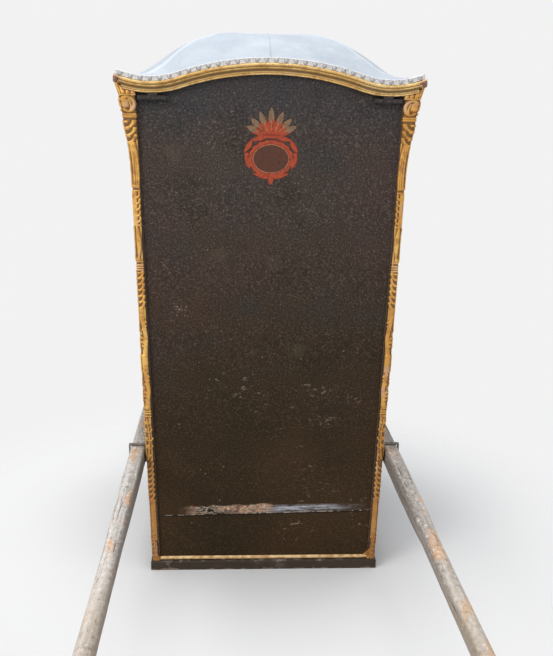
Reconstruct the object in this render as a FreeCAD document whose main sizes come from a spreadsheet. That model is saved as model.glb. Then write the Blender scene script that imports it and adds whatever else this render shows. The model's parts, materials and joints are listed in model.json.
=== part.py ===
"""A sedan chair: a tapered cabin on a wooden base, with a front door, a hinged roof and two carrying poles.

The frame is in millimetres with +Z up. The origin is on the floor under the middle of the chair, -Y is the
back and +Y is the front, where the door is. All driving sizes are in the spreadsheet named Sizes.
"""
import FreeCAD
import Part
import Sketcher
import math
import os
import re

V = FreeCAD.Vector
doc = FreeCAD.newDocument("sedan_chair")

# ---------------------------------------------------------------- driving sizes
SIZES = [
    # name, value
    ("base_wide", 694), ("base_deep", 806), ("base_tall", 30), ("base_rail", 46), ("base_rebate", 18),
    ("base_round", 5), ("floor_thick", 12),
    ("foot_wide", 682), ("foot_deep", 794), ("head_wide", 764), ("head_deep", 860), ("head_tall", 1416),
    ("wall", 16), ("post_proud", 6), ("flare_from", 1150), ("flare_wide", 21), ("flare_deep", 9),
    ("low_tall", 1418), ("crown_wide", 52), ("crown_deep", 18), ("tip_rise", 17), ("tip_run", 93),
    ("spare", 60), ("mitre_run", 400), ("mitre_over", 14),
    ("cornice_out", 34), ("cornice_tall", 29), ("cornice_in", 34), ("lip_gap", 5), ("post_head_gap", 8),
    ("wall_over", 7), ("flange_foot", 13), ("flange_head", 19), ("lip_thick", 8), ("bead_high", 6),
    ("cove_in", 15), ("cove_out", 26), ("cove_head", 17), ("fillet_high", 3), ("chamfer", 5),
    ("dome_tall", 1598), ("dome_thick", 12), ("dome_inset", 7), ("dome_seat", 0.5), ("dome_bearing", 13),
    ("corner_ease", 1.5), ("dome_fall", 65), ("shoulder_wide", 6), ("shoulder_deep", 4.5),
    ("bead_tall", 12), ("bead_proud", 5), ("bead_slope", 4),
    ("window_foot", 770), ("window_head", 1290), ("window_back", -70), ("window_front", 350),
    ("window_arch", 40), ("frame_wide", 26), ("frame_proud", 7), ("glass_thick", 4),
    ("door_gap", 5.5), ("door_foot_gap", 6), ("door_head_gap", 8), ("door_window_edge", 70),
    ("hinge_radius", 6), ("hinge_knuckle", 26), ("hinge_leaf", 22), ("hinge_leaf_thick", 3),
    ("hinge_off", 9), ("hinge_break", 0.4), ("hinge_low", 230), ("hinge_middle", 670), ("hinge_high", 1110),
    ("knob_tall", 700), ("knob_radius", 13), ("knob_foot", 15), ("knob_plate", 3), ("knob_neck", 5),
    ("knob_stem", 14), ("knob_ball", 18), ("knob_in", 34),
    ("roof_hinge_in", 6), ("roof_hinge_drop", 12), ("roof_hinge_out", 12), ("roof_leaf_tall", 17),
    ("roof_leaf_thick", 3), ("roof_arm_thick", 4), ("roof_lug_thick", 5),
    ("pole_thick", 46), ("pole_long", 3400), ("pole_clear", 13.4), ("pole_tall", 360),
    ("pole_square_half", 600), ("pole_taper", 330), ("pole_spare", 0.6),
    ("grip_radius", 22.5), ("grip_end", 14),
    ("bracket_place", 340), ("bracket_plate_tall", 130), ("bracket_plate_wide", 60),
    ("bracket_plate_thick", 5),
    ("strap_thick", 4), ("strap_wide", 12), ("strap_play", 2), ("pole_seat", 0.3),
    ("seat_tall", 395), ("seat_deep", 430), ("seat_thick", 18), ("seat_front_thick", 16), ("seat_nose", 12),
    ("cushion_tall", 70), ("cushion_gap", 6), ("cushion_nose", 2), ("cushion_rest", 0.3),
    ("cushion_round", 22),
    ("back_pad_foot", 500), ("back_pad_head", 1180), ("back_pad_thick", 48), ("pad_side_gap", 40),
    ("pad_rest", 0.5),
]
sheet = doc.addObject("Spreadsheet::Sheet", "Sizes")
for row, (name, value) in enumerate(SIZES, start=1):
    sheet.set(f"A{row}", name)
    sheet.set(f"B{row}", str(value))
    sheet.setAlias(f"B{row}", name)
doc.recompute()
NAMES = {name for name, _ in SIZES}


def bound(formula):
    """The formula with each size's name pointed at its cell, as setExpression wants it."""
    return re.sub(r"[a-z_]+", lambda m: f"Sizes.{m[0]}" if m[0] in NAMES else m[0], str(formula))


def value(formula):
    """The number that a formula of size names gives now."""
    return float(sheet.evalExpression(bound(formula)))


def bind(thing, prop, formula):
    """Set a property from a formula and keep it tied to the sheet."""
    thing.setExpression(prop, bound(formula))


# ---------------------------------------------------------------- the leaning walls and the arched eaves
def lean(side, tall, inset="0"):
    """Half width (side 'wide') or half depth (side 'deep') of the cabin at a height, over the posts."""
    grow = f"(head_{side} - foot_{side}) / 2 / (head_tall - base_tall)"
    return f"(foot_{side} / 2 + {grow} * (({tall}) - base_tall) - ({inset}))"


def low_half(side):
    """Distance from the middle of a side to the lowest point of its eaves."""
    return f"(head_{side} / 2 + cornice_out - tip_run)"


TIP_RADIUS = "((tip_run^2 + tip_rise^2) / 2 / tip_rise)"


def arch_sum(side):
    """Sum of the crown's radius and the tip's radius, which meet in line where the curve turns over."""
    return f"(({low_half(side)}^2 + crown_{side}^2) / 2 / crown_{side})"


def turn_half(side):
    """Distance from the middle to the place where crown arc and tip arc meet."""
    return f"({low_half(side)} * (1 - {TIP_RADIUS} / {arch_sum(side)}))"


def turn_tall(side):
    """Height of that place above the lowest point."""
    return f"(crown_{side} * {TIP_RADIUS} / {arch_sum(side)})"


def rise_near_tip(side, half):
    """Height of the eaves above their lowest point, for a distance that falls on the tip arc."""
    return f"({TIP_RADIUS} - sqrt({TIP_RADIUS}^2 - (({half}) - {low_half(side)})^2))"


def eaves_points(side, half, raise_by):
    """The arched line from +half to -half, raised, as outline points: tip arc, crown arc, tip arc."""
    base = f"low_tall + ({raise_by})"
    end_tall = f"{base} + {rise_near_tip(side, half)}"
    turn = f"{base} + {turn_tall(side)}"
    crown = f"{arch_sum(side)} - {TIP_RADIUS}"
    return [
        (half, end_tall, TIP_RADIUS, -1),
        (turn_half(side), turn, crown, 1),
        (f"-{turn_half(side)}", turn, TIP_RADIUS, -1),
        (f"-({half})", end_tall),
    ]


# ---------------------------------------------------------------- sketches and solids
PLANES = {
    # plane: rotation that takes the sketch's own X, Y to the chair's axes, and its normal
    "XZ": FreeCAD.Rotation(V(1, 0, 0), 90),
    "YZ": FreeCAD.Rotation(FreeCAD.Matrix(0, 0, 1, 0, 1, 0, 0, 0, 0, 1, 0, 0, 0, 0, 0, 1)),
    "XY": FreeCAD.Rotation(),
}


def add_arc(sketch, a, b, radius, turn):
    """Draw an arc from a to b, anticlockwise for turn 1 and clockwise for -1. Its radius is a formula."""
    size = value(radius)
    half = (b - a).Length / 2
    across = V(-(b - a).y, (b - a).x, 0).normalize()
    centre = (a + b) / 2 + across * (turn * math.sqrt(max(size ** 2 - half ** 2, 0)))
    first, last = (a, b) if turn > 0 else (b, a)
    angles = [math.atan2(s.y - centre.y, s.x - centre.x) for s in (first, last)]
    number = sketch.addGeometry(Part.ArcOfCircle(Part.Circle(centre, V(0, 0, 1), size), *angles))
    held = sketch.addConstraint(Sketcher.Constraint("Radius", number, size))
    bind(sketch, f"Constraints[{held}]", radius)
    return (number, 1, 2) if turn > 0 else (number, 2, 1)


def hold_point(sketch, edge, end, point, spot):
    """Tie one end of an edge to the two formulas of a point."""
    for axis, formula, number in (("X", point[0], spot.x), ("Y", point[1], spot.y)):
        held = sketch.addConstraint(Sketcher.Constraint(f"Distance{axis}", -1, 1, edge, end, number))
        bind(sketch, f"Constraints[{held}]", formula)


def add_outline(sketch, points):
    """Draw a closed outline. A point is (u, v), or (u, v, radius, turn) when an arc leads on from it.

    The turn is 1 where the arc runs anticlockwise and -1 where it runs clockwise.
    """
    spots = [V(value(p[0]), value(p[1]), 0) for p in points]
    ends = []
    for point, a, b in zip(points, spots, spots[1:] + spots[:1]):
        if len(point) == 2:
            ends.append((sketch.addGeometry(Part.LineSegment(a, b)), 1, 2))
        else:
            ends.append(add_arc(sketch, a, b, point[2], point[3]))
    for i, (edge, start, _) in enumerate(ends):
        before, _, finish = ends[i - 1]
        sketch.addConstraint(Sketcher.Constraint("Coincident", before, finish, edge, start))
        hold_point(sketch, edge, start, points[i], spots[i])


def add_line(sketch, stops):
    """Draw an open path of arcs that run on from each other. A stop is (u, v, radius, turn)."""
    spots = [V(value(p[0]), value(p[1]), 0) for p in stops]
    ends = []
    for stop, a, b in zip(stops, spots, spots[1:]):
        ends.append(add_arc(sketch, a, b, stop[2], stop[3]))
    for i, (edge, start, finish) in enumerate(ends):
        if i:
            before, _, last = ends[i - 1]
            sketch.addConstraint(Sketcher.Constraint("Coincident", before, last, edge, start))
        hold_point(sketch, edge, start, stops[i], spots[i])
    edge, _, finish = ends[-1]
    hold_point(sketch, edge, finish, stops[-1], spots[-1])


def outline(name, plane, *loops):
    """A sketch of closed outlines in one of the chair's main planes."""
    sketch = doc.addObject("Sketcher::SketchObject", name)
    sketch.Placement = FreeCAD.Placement(V(), PLANES[plane])
    for points in loops:
        add_outline(sketch, points)
    return sketch


def drawn(name, sketch, start, end):
    """Draw a sketch out along its normal's axis from start to end, in the chair's own coordinates."""
    solid = doc.addObject("Part::Extrusion", name)
    solid.Base = sketch
    solid.DirMode = "Custom"
    solid.Dir = {"XZ": V(0, 1, 0), "YZ": V(1, 0, 0), "XY": V(0, 0, 1)}[plane_of(sketch)]
    solid.Solid = True
    bind(solid, "LengthFwd", end)
    bind(solid, "LengthRev", f"-({start})")
    return solid


def plane_of(sketch):
    return next(k for k, r in PLANES.items() if sketch.Placement.Rotation.isSame(r, 1e-6))


def made(kind, name, *parts):
    """A boolean of the Part workbench: Common, Fuse or Cut."""
    if kind == "Cut":
        result = doc.addObject("Part::Cut", name)
        result.Base, result.Tool = parts
    else:
        result = doc.addObject(f"Part::Multi{kind}", name)
        result.Shapes = list(parts)
    return result


NODES = {}


def node(name, thing):
    """Give a finished sub-part its Label, which names its file."""
    thing.Label = name
    NODES[name] = thing
    return thing


def mirrored(name, source, normal):
    """The mirror image of a piece across the chair's middle."""
    copy = doc.addObject("Part::Mirroring", name)
    copy.Source = source
    copy.Base = V()
    copy.Normal = normal
    return copy


def box(name, x, y, z):
    """A block between two formulas on each axis."""
    block = doc.addObject("Part::Box", name)
    for prop, (low, high) in zip(("Length", "Width", "Height"), (x, y, z)):
        bind(block, prop, f"({high}) - ({low})")
    for axis, (low, _) in zip("xyz", (x, y, z)):
        bind(block, f"Placement.Base.{axis}", low)
    return block


def rectangle(half_u, low_v, high_v):
    return [(f"-({half_u})", low_v), (half_u, low_v), (half_u, high_v), (f"-({half_u})", high_v)]


POST = "(wall + post_proud)"
ABOVE = "(low_tall + crown_wide + spare)"


def leaning_slab(name, plane, side, outer, inner, foot, sign):
    """A leaning slab seen edge on: from inset 'outer' to inset 'inner', from 'foot' to above the eaves."""
    mark = "" if sign > 0 else "-"
    points = [
        (f"{mark}{lean(side, foot, inner)}", foot), (f"{mark}{lean(side, foot, outer)}", foot),
        (f"{mark}{lean(side, ABOVE, outer)}", ABOVE), (f"{mark}{lean(side, ABOVE, inner)}", ABOVE),
    ]
    across = {"XZ": f"{lean('deep', ABOVE)}", "YZ": f"{lean('wide', ABOVE)}"}[plane]
    sketch = outline(f"{name}_edge", plane, points if sign > 0 else points[::-1])
    return drawn(f"{name}_slab", sketch, f"-{across} - spare", f"{across} + spare")


def leaning_face(name, plane, side, inset, foot, holes=()):
    """The face of a wall between the posts, with the arched head, and with holes cut."""
    top_half = lean(side, "low_tall + wall_over", inset)
    points = [(f"-{lean(side, foot, inset)}", foot), (lean(side, foot, inset), foot)]
    points += eaves_points(side, top_half, "wall_over")
    sketch = outline(f"{name}_face", plane, points, *holes)
    across = {"XZ": lean("deep", ABOVE), "YZ": lean("wide", ABOVE)}[plane]
    return drawn(f"{name}_faced", sketch, f"-{across} - spare", f"{across} + spare")


# ---------------------------------------------------------------- base and floor
def build_base():
    """The base rails as one joined frame, rebated inside for the floor board, with a rounded top edge."""
    body = doc.addObject("PartDesign::Body", "base_body")
    plane = next(f for f in body.Origin.OriginFeatures if f.Role == "XY_Plane")

    def rect_sketch(name, wide, deep):
        sketch = body.newObject("Sketcher::SketchObject", name)
        sketch.AttachmentSupport = [(plane, "")]
        sketch.MapMode = "FlatFace"
        add_outline(sketch, rectangle(f"({wide}) / 2", f"-({deep}) / 2", f"({deep}) / 2"))
        return sketch

    pad = body.newObject("PartDesign::Pad", "base_pad")
    pad.Profile = rect_sketch("base_outer", "base_wide", "base_deep")
    bind(pad, "Length", "base_tall")
    doc.recompute()
    cuts = (("base_open", "base_rail", "base_tall + 1", None),
            ("base_ledge", "base_rail - base_rebate", "floor_thick", "base_tall - floor_thick"))
    for name, rail, deep, start in cuts:
        pocket = body.newObject("PartDesign::Pocket", name)
        sketch = rect_sketch(f"{name}_sketch", f"base_wide - 2 * ({rail})", f"base_deep - 2 * ({rail})")
        if start:
            bind(sketch, "AttachmentOffset.Base.z", start)
        pocket.Profile = sketch
        pocket.Reversed = True
        bind(pocket, "Length", deep)
        doc.recompute()
    rebated = body.Tip
    shape = rebated.Shape
    outer = value("base_wide") / 2
    deep = value("base_deep") / 2
    top = value("base_tall")
    edges = []
    for i, edge in enumerate(shape.Edges, start=1):
        middle = edge.CenterOfMass
        outside = abs(abs(middle.x) - outer) < 0.1 or abs(abs(middle.y) - deep) < 0.1
        if outside and abs(middle.z - top) < 0.1:
            edges.append(f"Edge{i}")
    rounding = body.newObject("PartDesign::Fillet", "base_round")
    rounding.Base = (rebated, edges)
    bind(rounding, "Radius", "base_round")
    node("base_frame", body)

    rail = "(base_rail - base_rebate)"
    floor = box("floor", (f"-base_wide / 2 + {rail}", f"base_wide / 2 - {rail}"),
                (f"-base_deep / 2 + {rail}", f"base_deep / 2 - {rail}"),
                ("base_tall - floor_thick", "base_tall"))
    node("floor_board", floor)


# ---------------------------------------------------------------- walls and posts
def window_hole(grow="0"):
    """The side window's opening, arched at its head."""
    back, front = f"window_back - ({grow})", f"window_front + ({grow})"
    foot, head = f"window_foot - ({grow})", f"window_head + ({grow})"
    half = f"(({front}) - ({back})) / 2"
    radius = f"(({half})^2 + window_arch^2) / 2 / window_arch"
    return [(back, foot), (front, foot), (front, head, radius, 1), (back, head)]


def door_hole(grow="0"):
    """The door window's opening, which leans with the door's edges and is arched at its head."""
    inset = f"{POST} + door_gap + door_window_edge - ({grow})"
    foot, head = f"window_foot - ({grow})", f"window_head + ({grow})"
    radius = f"({lean('wide', head, inset)}^2 + window_arch^2) / 2 / window_arch"
    return [(f"-{lean('wide', foot, inset)}", foot), (lean("wide", foot, inset), foot),
            (lean("wide", head, inset), head, radius, 1), (f"-{lean('wide', head, inset)}", head)]


def build_walls():
    slab = leaning_slab("back", "YZ", "deep", "post_proud", POST, "base_tall", -1)
    face = leaning_face("back", "XZ", "wide", POST, "base_tall")
    node("back_panel", made("Common", "back_wall", slab, face))

    slab = leaning_slab("right", "XZ", "wide", "post_proud", POST, "base_tall", 1)
    face = leaning_face("right", "YZ", "deep", POST, "base_tall", [window_hole()])
    right = made("Common", "right_wall", slab, face)
    node("side_panel_right", right)
    node("side_panel_left", mirrored("left_wall", right, V(1, 0, 0)))


PANE_INSET = "(post_proud + (wall - glass_thick) / 2)"


def build_windows():
    """The gilt mouldings round the side windows and their panes, all in line with the leaning walls."""
    reach = f"{lean('wide', ABOVE)} + spare"
    slab = leaning_slab("frame", "XZ", "wide", "post_proud - frame_proud", "post_proud", "base_tall", 1)
    ring = outline("frame_ring", "YZ", window_hole("frame_wide"), window_hole())
    ring_out = drawn("frame_out", ring, "0", reach)
    frame = made("Common", "window_moulding", slab, ring_out)
    node("window_frame_right", frame)
    node("window_frame_left", mirrored("window_moulding_left", frame, V(1, 0, 0)))

    slab = leaning_slab("glass", "XZ", "wide", PANE_INSET, f"{PANE_INSET} + glass_thick", "base_tall", 1)
    pane_out = drawn("pane_out", outline("pane", "YZ", window_hole()), "0", reach)
    pane = made("Common", "window_pane", slab, pane_out)
    node("window_glass_right", pane)
    node("window_glass_left", mirrored("window_pane_left", pane, V(1, 0, 0)))


def post_profile(side):
    """One post seen from behind or from the side: straight shaft, flared neck, and a head under the eaves."""
    tip = f"(head_{side} / 2 + flare_{side})"
    head = f"low_tall - post_head_gap + {rise_near_tip(side, tip)}"
    inner_tall = "low_tall - post_head_gap"
    inner = lean(side, inner_tall, POST)
    inner_head = f"{inner_tall} + {rise_near_tip(side, inner)}"
    run = f"(({head}) - flare_from)"
    out = f"({tip} - {lean(side, 'flare_from')})"
    radius = f"({run}^2 + {out}^2) / 2 / {out}"
    return [
        (lean(side, "base_tall", POST), "base_tall"), (lean(side, "base_tall"), "base_tall"),
        (lean(side, "flare_from"), "flare_from", radius, -1),
        (tip, head, f"{TIP_RADIUS}", -1),
        (inner, inner_head),
    ]


def build_posts():
    """Four corner posts. Each is the solid common to its two outlines, seen from behind and from the side."""
    across = outline("post_wide_outline", "XZ", post_profile("wide"))
    along = outline("post_deep_outline", "YZ", post_profile("deep"))
    far = "head_deep"
    from_behind = drawn("post_from_behind", across, "0", far)
    from_side = drawn("post_from_side", along, "0", far)
    front = made("Common", "post_front_right", from_behind, from_side)
    node("corner_post_front_right", front)
    node("corner_post_front_left", mirrored("post_front_left", front, V(1, 0, 0)))
    back = mirrored("post_back_right", front, V(0, 1, 0))
    node("corner_post_back_right", back)
    node("corner_post_back_left", mirrored("post_back_left", back, V(1, 0, 0)))


def build_beads():
    """Gilt beads along the foot of the back and side walls, between the posts."""
    face = "post_proud - bead_proud"
    head = "(base_tall + bead_tall)"

    def bead(name, plane, side, other, sign):
        mark = "" if sign > 0 else "-"
        low = lean(side, "base_tall", "post_proud")
        points = [
            (f"{mark}{low}", "base_tall"), (f"{mark}({lean(side, 'base_tall', face)})", "base_tall"),
            (f"{mark}({lean(side, head, face)})", f"{head} - bead_slope"),
            (f"{mark}{lean(side, head, 'post_proud')}", head),
        ]
        sketch = outline(f"{name}_section", plane, points if sign > 0 else points[::-1])
        reach = lean(other, "base_tall", POST)
        return drawn(name, sketch, f"-{reach}", reach)

    node("foot_bead_back", bead("bead_back", "YZ", "deep", "wide", -1))
    right = bead("bead_right", "XZ", "wide", "deep", 1)
    node("foot_bead_right", right)
    node("foot_bead_left", mirrored("bead_left", right, V(1, 0, 0)))


# ---------------------------------------------------------------- door
DOOR_FOOT = "(base_tall + door_foot_gap)"


def build_door():
    """The leaf fills the front between the posts, and has a glazed window with a gilt frame."""
    inset = f"{POST} + door_gap"
    half_top = lean("wide", "low_tall - door_head_gap", inset)
    points = [(f"-{lean('wide', DOOR_FOOT, inset)}", DOOR_FOOT), (lean("wide", DOOR_FOOT, inset), DOOR_FOOT)]
    points += eaves_points("wide", half_top, "-door_head_gap")
    reach = f"{lean('deep', ABOVE)} + spare"
    face = drawn("door_faced", outline("door_face", "XZ", points, door_hole()), "0", reach)
    slab = leaning_slab("door", "YZ", "deep", "post_proud", POST, DOOR_FOOT, 1)
    node("door_panel", made("Common", "door_leaf", slab, face))

    slab = leaning_slab("door_frame", "YZ", "deep", "post_proud - frame_proud", "post_proud", DOOR_FOOT, 1)
    ring = outline("door_ring", "XZ", door_hole("frame_wide"), door_hole())
    ring_out = drawn("door_ring_out", ring, "0", reach)
    node("door_window_frame", made("Common", "door_moulding", slab, ring_out))

    slab = leaning_slab("door_glass", "YZ", "deep", PANE_INSET, f"{PANE_INSET} + glass_thick", DOOR_FOOT, 1)
    pane = drawn("door_pane_out", outline("door_pane", "XZ", door_hole()), "0", reach)
    node("door_glass", made("Common", "door_window_pane", slab, pane))


def door_axis():
    """Two points on the door hinge's line, which leans with the left front post."""
    ends = []
    for tall in ("base_tall", "head_tall"):
        x = -value(f"{lean('wide', tall, POST)} - hinge_off")
        y = value(f"{lean('deep', tall)}")
        ends.append(V(x, y, value(tall)))
    return ends


def along_door_axis(tall):
    foot, head = door_axis()
    return foot + (head - foot) * ((tall - foot.z) / (head.z - foot.z))


def build_door_hinges():
    """Three butt hinges: outer knuckles and a leaf on the post, a middle knuckle and a leaf on the door."""
    foot, head = door_axis()
    turn = FreeCAD.Rotation(V(0, 0, 1), head - foot)
    long = value("hinge_knuckle")
    gap = value("hinge_break")
    radius = value("hinge_radius")
    leaf = value("hinge_leaf")
    thick = value("hinge_leaf_thick")
    proud = value("post_proud")
    groups = {"fixed": [], "moving": []}
    for place in ("hinge_low", "hinge_middle", "hinge_high"):
        centre = along_door_axis(value(place))
        for kind, start in (("fixed", -1.5), ("moving", -0.5), ("fixed", 0.5)):
            low = start * long + gap / 2
            knuckle = Part.makeCylinder(radius, long - gap, V(0, 0, low))
            corner = V(-leaf, 0, low) if kind == "fixed" else V(0, -proud, low)
            plate = Part.makeBox(leaf, thick, long - gap, corner)
            solid = knuckle.fuse(plate)
            solid.Placement = FreeCAD.Placement(centre, turn)
            groups[kind].append(solid)
    for kind, name in (("fixed", "door_hinge_post_leaves"), ("moving", "door_hinge_leaves")):
        feature = doc.addObject("Part::Feature", name)
        feature.Shape = Part.makeCompound(groups[kind])
        node(name, feature)


def lean_angle():
    """How many degrees the back wall and the door lean."""
    return math.degrees(math.atan2(value("(head_deep - foot_deep) / 2"), value("head_tall - base_tall")))


def build_knob():
    """A turned brass knob near the free edge of the door."""
    tall = value("knob_tall")
    x = value(f"{lean('wide', 'knob_tall', POST)} - door_gap - knob_in")
    y = value(lean("deep", "knob_tall", "post_proud"))
    profile = [
        ("0", "0"), ("knob_foot", "0"), ("knob_foot", "knob_plate"), ("knob_neck", "2 * knob_plate"),
        ("knob_neck", "knob_stem"), ("knob_radius", "knob_stem + knob_ball * 0.3"),
        ("knob_radius", "knob_stem + knob_ball * 0.6"), ("knob_neck", "knob_stem + knob_ball * 0.95"),
        ("0", "knob_stem + knob_ball"),
    ]
    turned = doc.addObject("Part::Revolution", "knob")
    turned.Source = outline("knob_profile", "XY", profile)
    turned.Axis = V(0, 1, 0)
    turned.Angle = 360
    turned.Solid = True
    turned.Placement = FreeCAD.Placement(V(x, y, tall), FreeCAD.Rotation(V(1, 0, 0), -lean_angle()))
    node("door_knob", turned)


# ---------------------------------------------------------------- cornice and roof
# The moulding's section: how far out from the head of the posts, and how far up from the eaves line. A bead
# at the foot, a hollow with its radius and turn, a fillet, and a chamfer under the broad top band.
HOLLOW = "(sqrt((cove_out - cove_in)^2 + (cove_head - bead_high)^2) * 3 / 4)"
CORNICE_SECTION = [
    ("lip_gap", "0"), ("lip_gap + lip_thick - bead_high / 4", "0"), ("lip_gap + lip_thick", "bead_high / 4"),
    ("lip_gap + lip_thick", "bead_high"), ("cove_in", "bead_high", HOLLOW, -1),
    ("cove_out", "cove_head"), ("cove_out", "cove_head + fillet_high"),
    ("cornice_out", "cove_head + fillet_high + chamfer"), ("cornice_out", "cornice_tall"),
    ("cornice_out - dome_bearing", "cornice_tall"), ("cornice_out - dome_bearing", "flange_head"),
    ("-cornice_in", "flange_head"), ("-cornice_in", "flange_foot"), ("lip_gap", "flange_foot"),
]


def arched_path(name, plane, side, other, half):
    """Half of the eaves line as a path, from the crown in the middle, over the turn, to past the tip."""
    crown = f"({arch_sum(side)} - {TIP_RADIUS})"
    stops = [
        ("0", f"low_tall + crown_{side}", crown, -1),
        (turn_half(side), f"low_tall + {turn_tall(side)}", TIP_RADIUS, 1),
        (half, f"low_tall + {rise_near_tip(side, half)}"),
    ]
    sketch = doc.addObject("Sketcher::SketchObject", name)
    sketch.Placement = FreeCAD.Placement(V(), PLANES[plane])
    add_line(sketch, stops)
    axis = {"XZ": "y", "YZ": "x"}[plane]
    bind(sketch, f"Placement.Base.{axis}", f"head_{other} / 2")
    return sketch


def cornice_rail(name, plane, side, other):
    """One side's moulding: its section run along the arched eaves line, and cut to the mitre planes."""
    reach = f"(head_{side} / 2 + cornice_out + mitre_over)"
    path = arched_path(f"{name}_path", plane, side, other, reach)
    section_plane = {"XZ": "YZ", "YZ": "XZ"}[plane]
    points = []
    for out, up, *arc in CORNICE_SECTION:
        points.append((f"head_{other} / 2 + {out}", f"low_tall + crown_{side} + {up}", *arc))
    section = outline(f"{name}_section", section_plane, points)
    doc.recompute()
    half = doc.addObject("Part::Sweep", f"{name}_half")
    half.Sections = [section]
    half.Spine = (path, ["Edge1", "Edge2"])
    half.Solid = True
    half.Frenet = False
    across = V(1, 0, 0) if plane == "XZ" else V(0, 1, 0)
    rail = made("Fuse", f"{name}_rail", half, mirrored(f"{name}_other_half", half, across))
    return made("Common", f"{name}_mitred", rail, mitre_wedge(name, side, other))


def mitre_wedge(name, side, other):
    """The wedge between the two mitre planes of a side, seen from above."""
    inner_here = f"(head_{side} / 2 - mitre_run + spare)"
    inner_out = f"(head_{other} / 2 - mitre_run + spare)"
    outer_here = f"(head_{side} / 2 + spare)"
    outer_out = f"(head_{other} / 2 + spare)"
    if side == "wide":
        points = [(f"-{inner_here}", inner_out), (inner_here, inner_out),
                  (outer_here, outer_out), (f"-{outer_here}", outer_out)]
    else:
        points = [(inner_out, f"-{inner_here}"), (outer_out, f"-{outer_here}"),
                  (outer_out, outer_here), (inner_out, inner_here)]
    plan = outline(f"{name}_wedge_plan", "XY", points)
    return drawn(f"{name}_wedge", plan, "low_tall - spare", "low_tall + crown_wide + cornice_tall + spare")


def build_cornice():
    front = cornice_rail("cornice_front", "XZ", "wide", "deep")
    node("cornice_front", front)
    node("cornice_back", mirrored("cornice_back_rail", front, V(0, 1, 0)))
    right = cornice_rail("cornice_right", "YZ", "deep", "wide")
    node("cornice_right", right)
    node("cornice_left", mirrored("cornice_left_rail", right, V(1, 0, 0)))


def cornice_head(side, half):
    """Height of the cornice's top over the lowest point of the eaves, so far from the middle of a side.

    The moulding stands square to the eaves line, so its top is made of arcs with the same centres.
    """
    tall = value("cornice_tall")
    tip = value(TIP_RADIUS)
    crown = value(arch_sum(side)) - tip
    half = abs(half)
    if half <= value(turn_half(side)) * (crown + tall) / crown:
        return value(f"crown_{side}") - crown + math.sqrt((crown + tall) ** 2 - half ** 2)
    return tip - math.sqrt((tip - tall) ** 2 - (half - value(low_half(side))) ** 2)


NEAR_RIM = 0.01
CUSHION_FULLNESS = 3
CORNER_SHARPNESS = 10


def dome_height(u, v, half_wide, half_deep, eaves, top):
    """Height of the dome at u, v from -1 to 1: the eaves' curves at the rim, a cushion in the middle."""
    from_back = 1 / (1 - abs(v) + NEAR_RIM) ** 2
    from_side = 1 / (1 - abs(u) + NEAR_RIM) ** 2
    back_line = eaves + cornice_head("wide", u * half_wide)
    side_line = eaves + cornice_head("deep", v * half_deep)
    rim = (from_back * back_line + from_side * side_line) / (from_back + from_side)
    rim += value("corner_ease") * (u * v) ** CORNER_SHARPNESS
    across = (1 - abs(u) ** value("shoulder_wide")) ** CUSHION_FULLNESS
    along = (1 - abs(v) ** value("shoulder_deep")) ** CUSHION_FULLNESS
    cushion = top - value("dome_fall") * u * u
    return rim + (cushion - rim) * across * along


def dome_surface(half_wide, half_deep, eaves, top, count=21):
    """The dome's underside, through points that lie closer together towards the rim."""
    spread = [-math.cos(math.pi * i / (count - 1)) for i in range(count)]
    grid = []
    for u in spread:
        row = []
        for v in spread:
            tall = dome_height(u, v, half_wide, half_deep, eaves, top)
            row.append(V(u * half_wide, v * half_deep, tall))
        grid.append(row)
    surface = Part.BSplineSurface()
    surface.interpolate(grid)
    return surface


def build_dome():
    """The roof's thin domed shell, open to the cabin below, seated on the cornice all round."""
    half_wide = value("head_wide / 2 + cornice_out - dome_inset")
    half_deep = value("head_deep / 2 + cornice_out - dome_inset")
    eaves = value("low_tall + dome_seat")
    top = value("dome_tall - dome_thick")
    lower = dome_surface(half_wide, half_deep, eaves, top).toShape()
    upper = lower.copy()
    upper.translate(V(0, 0, value("dome_thick")))
    faces = [lower, upper]
    for below, above in zip(lower.Edges, upper.Edges):
        faces.append(Part.makeRuledSurface(below, above))
    shell = Part.makeShell(faces)
    shell.sewShape()
    solid = Part.makeSolid(shell)
    if solid.Volume < 0:
        solid.reverse()
    feature = doc.addObject("Part::Feature", "dome")
    feature.Shape = solid
    node("roof_dome", feature)


def build_roof_hinges():
    """Two hinges under the back eaves: leaves on the back wall, and knuckles hung from the cornice."""
    z = value("low_tall - roof_hinge_drop")
    y = -value("head_deep / 2 + roof_hinge_out")
    face = -value(lean("deep", "low_tall - roof_hinge_drop", "post_proud"))
    radius = value("hinge_radius")
    long = value("hinge_knuckle")
    gap = value("hinge_break")
    leaf_tall = value("roof_leaf_tall")
    leaf_thick = value("roof_leaf_thick")
    arm_thick = value("roof_arm_thick")
    lug_thick = value("roof_lug_thick")
    fixed = []
    moving = []
    for side in (-1, 1):
        x = side * value(f"{low_half('wide')} - roof_hinge_in")
        for start, kind in ((-1.5, "fixed"), (-0.5, "moving"), (0.5, "fixed")):
            low = x + start * long + gap / 2
            knuckle = Part.makeCylinder(radius, long - gap, V(low, y, z), V(1, 0, 0))
            if kind == "fixed":
                arm = Part.makeBox(long - gap, face - y, arm_thick, V(low, y, z - radius))
                corner = V(low, face - leaf_thick, z - leaf_tall)
                plate = Part.makeBox(long - gap, leaf_thick, leaf_tall, corner)
                fixed.append(knuckle.fuse(arm).fuse(plate).removeSplitter())
            else:
                arm = Part.makeBox(long - gap, lug_thick, value("low_tall") - z, V(low, y - lug_thick / 2, z))
                moving.append(knuckle.fuse(arm).removeSplitter())
    for name, solids in (("roof_hinge_wall_leaves", fixed), ("roof_hinge_knuckles", moving)):
        feature = doc.addObject("Part::Feature", name)
        feature.Shape = Part.makeCompound(solids)
        node(name, feature)


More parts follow.
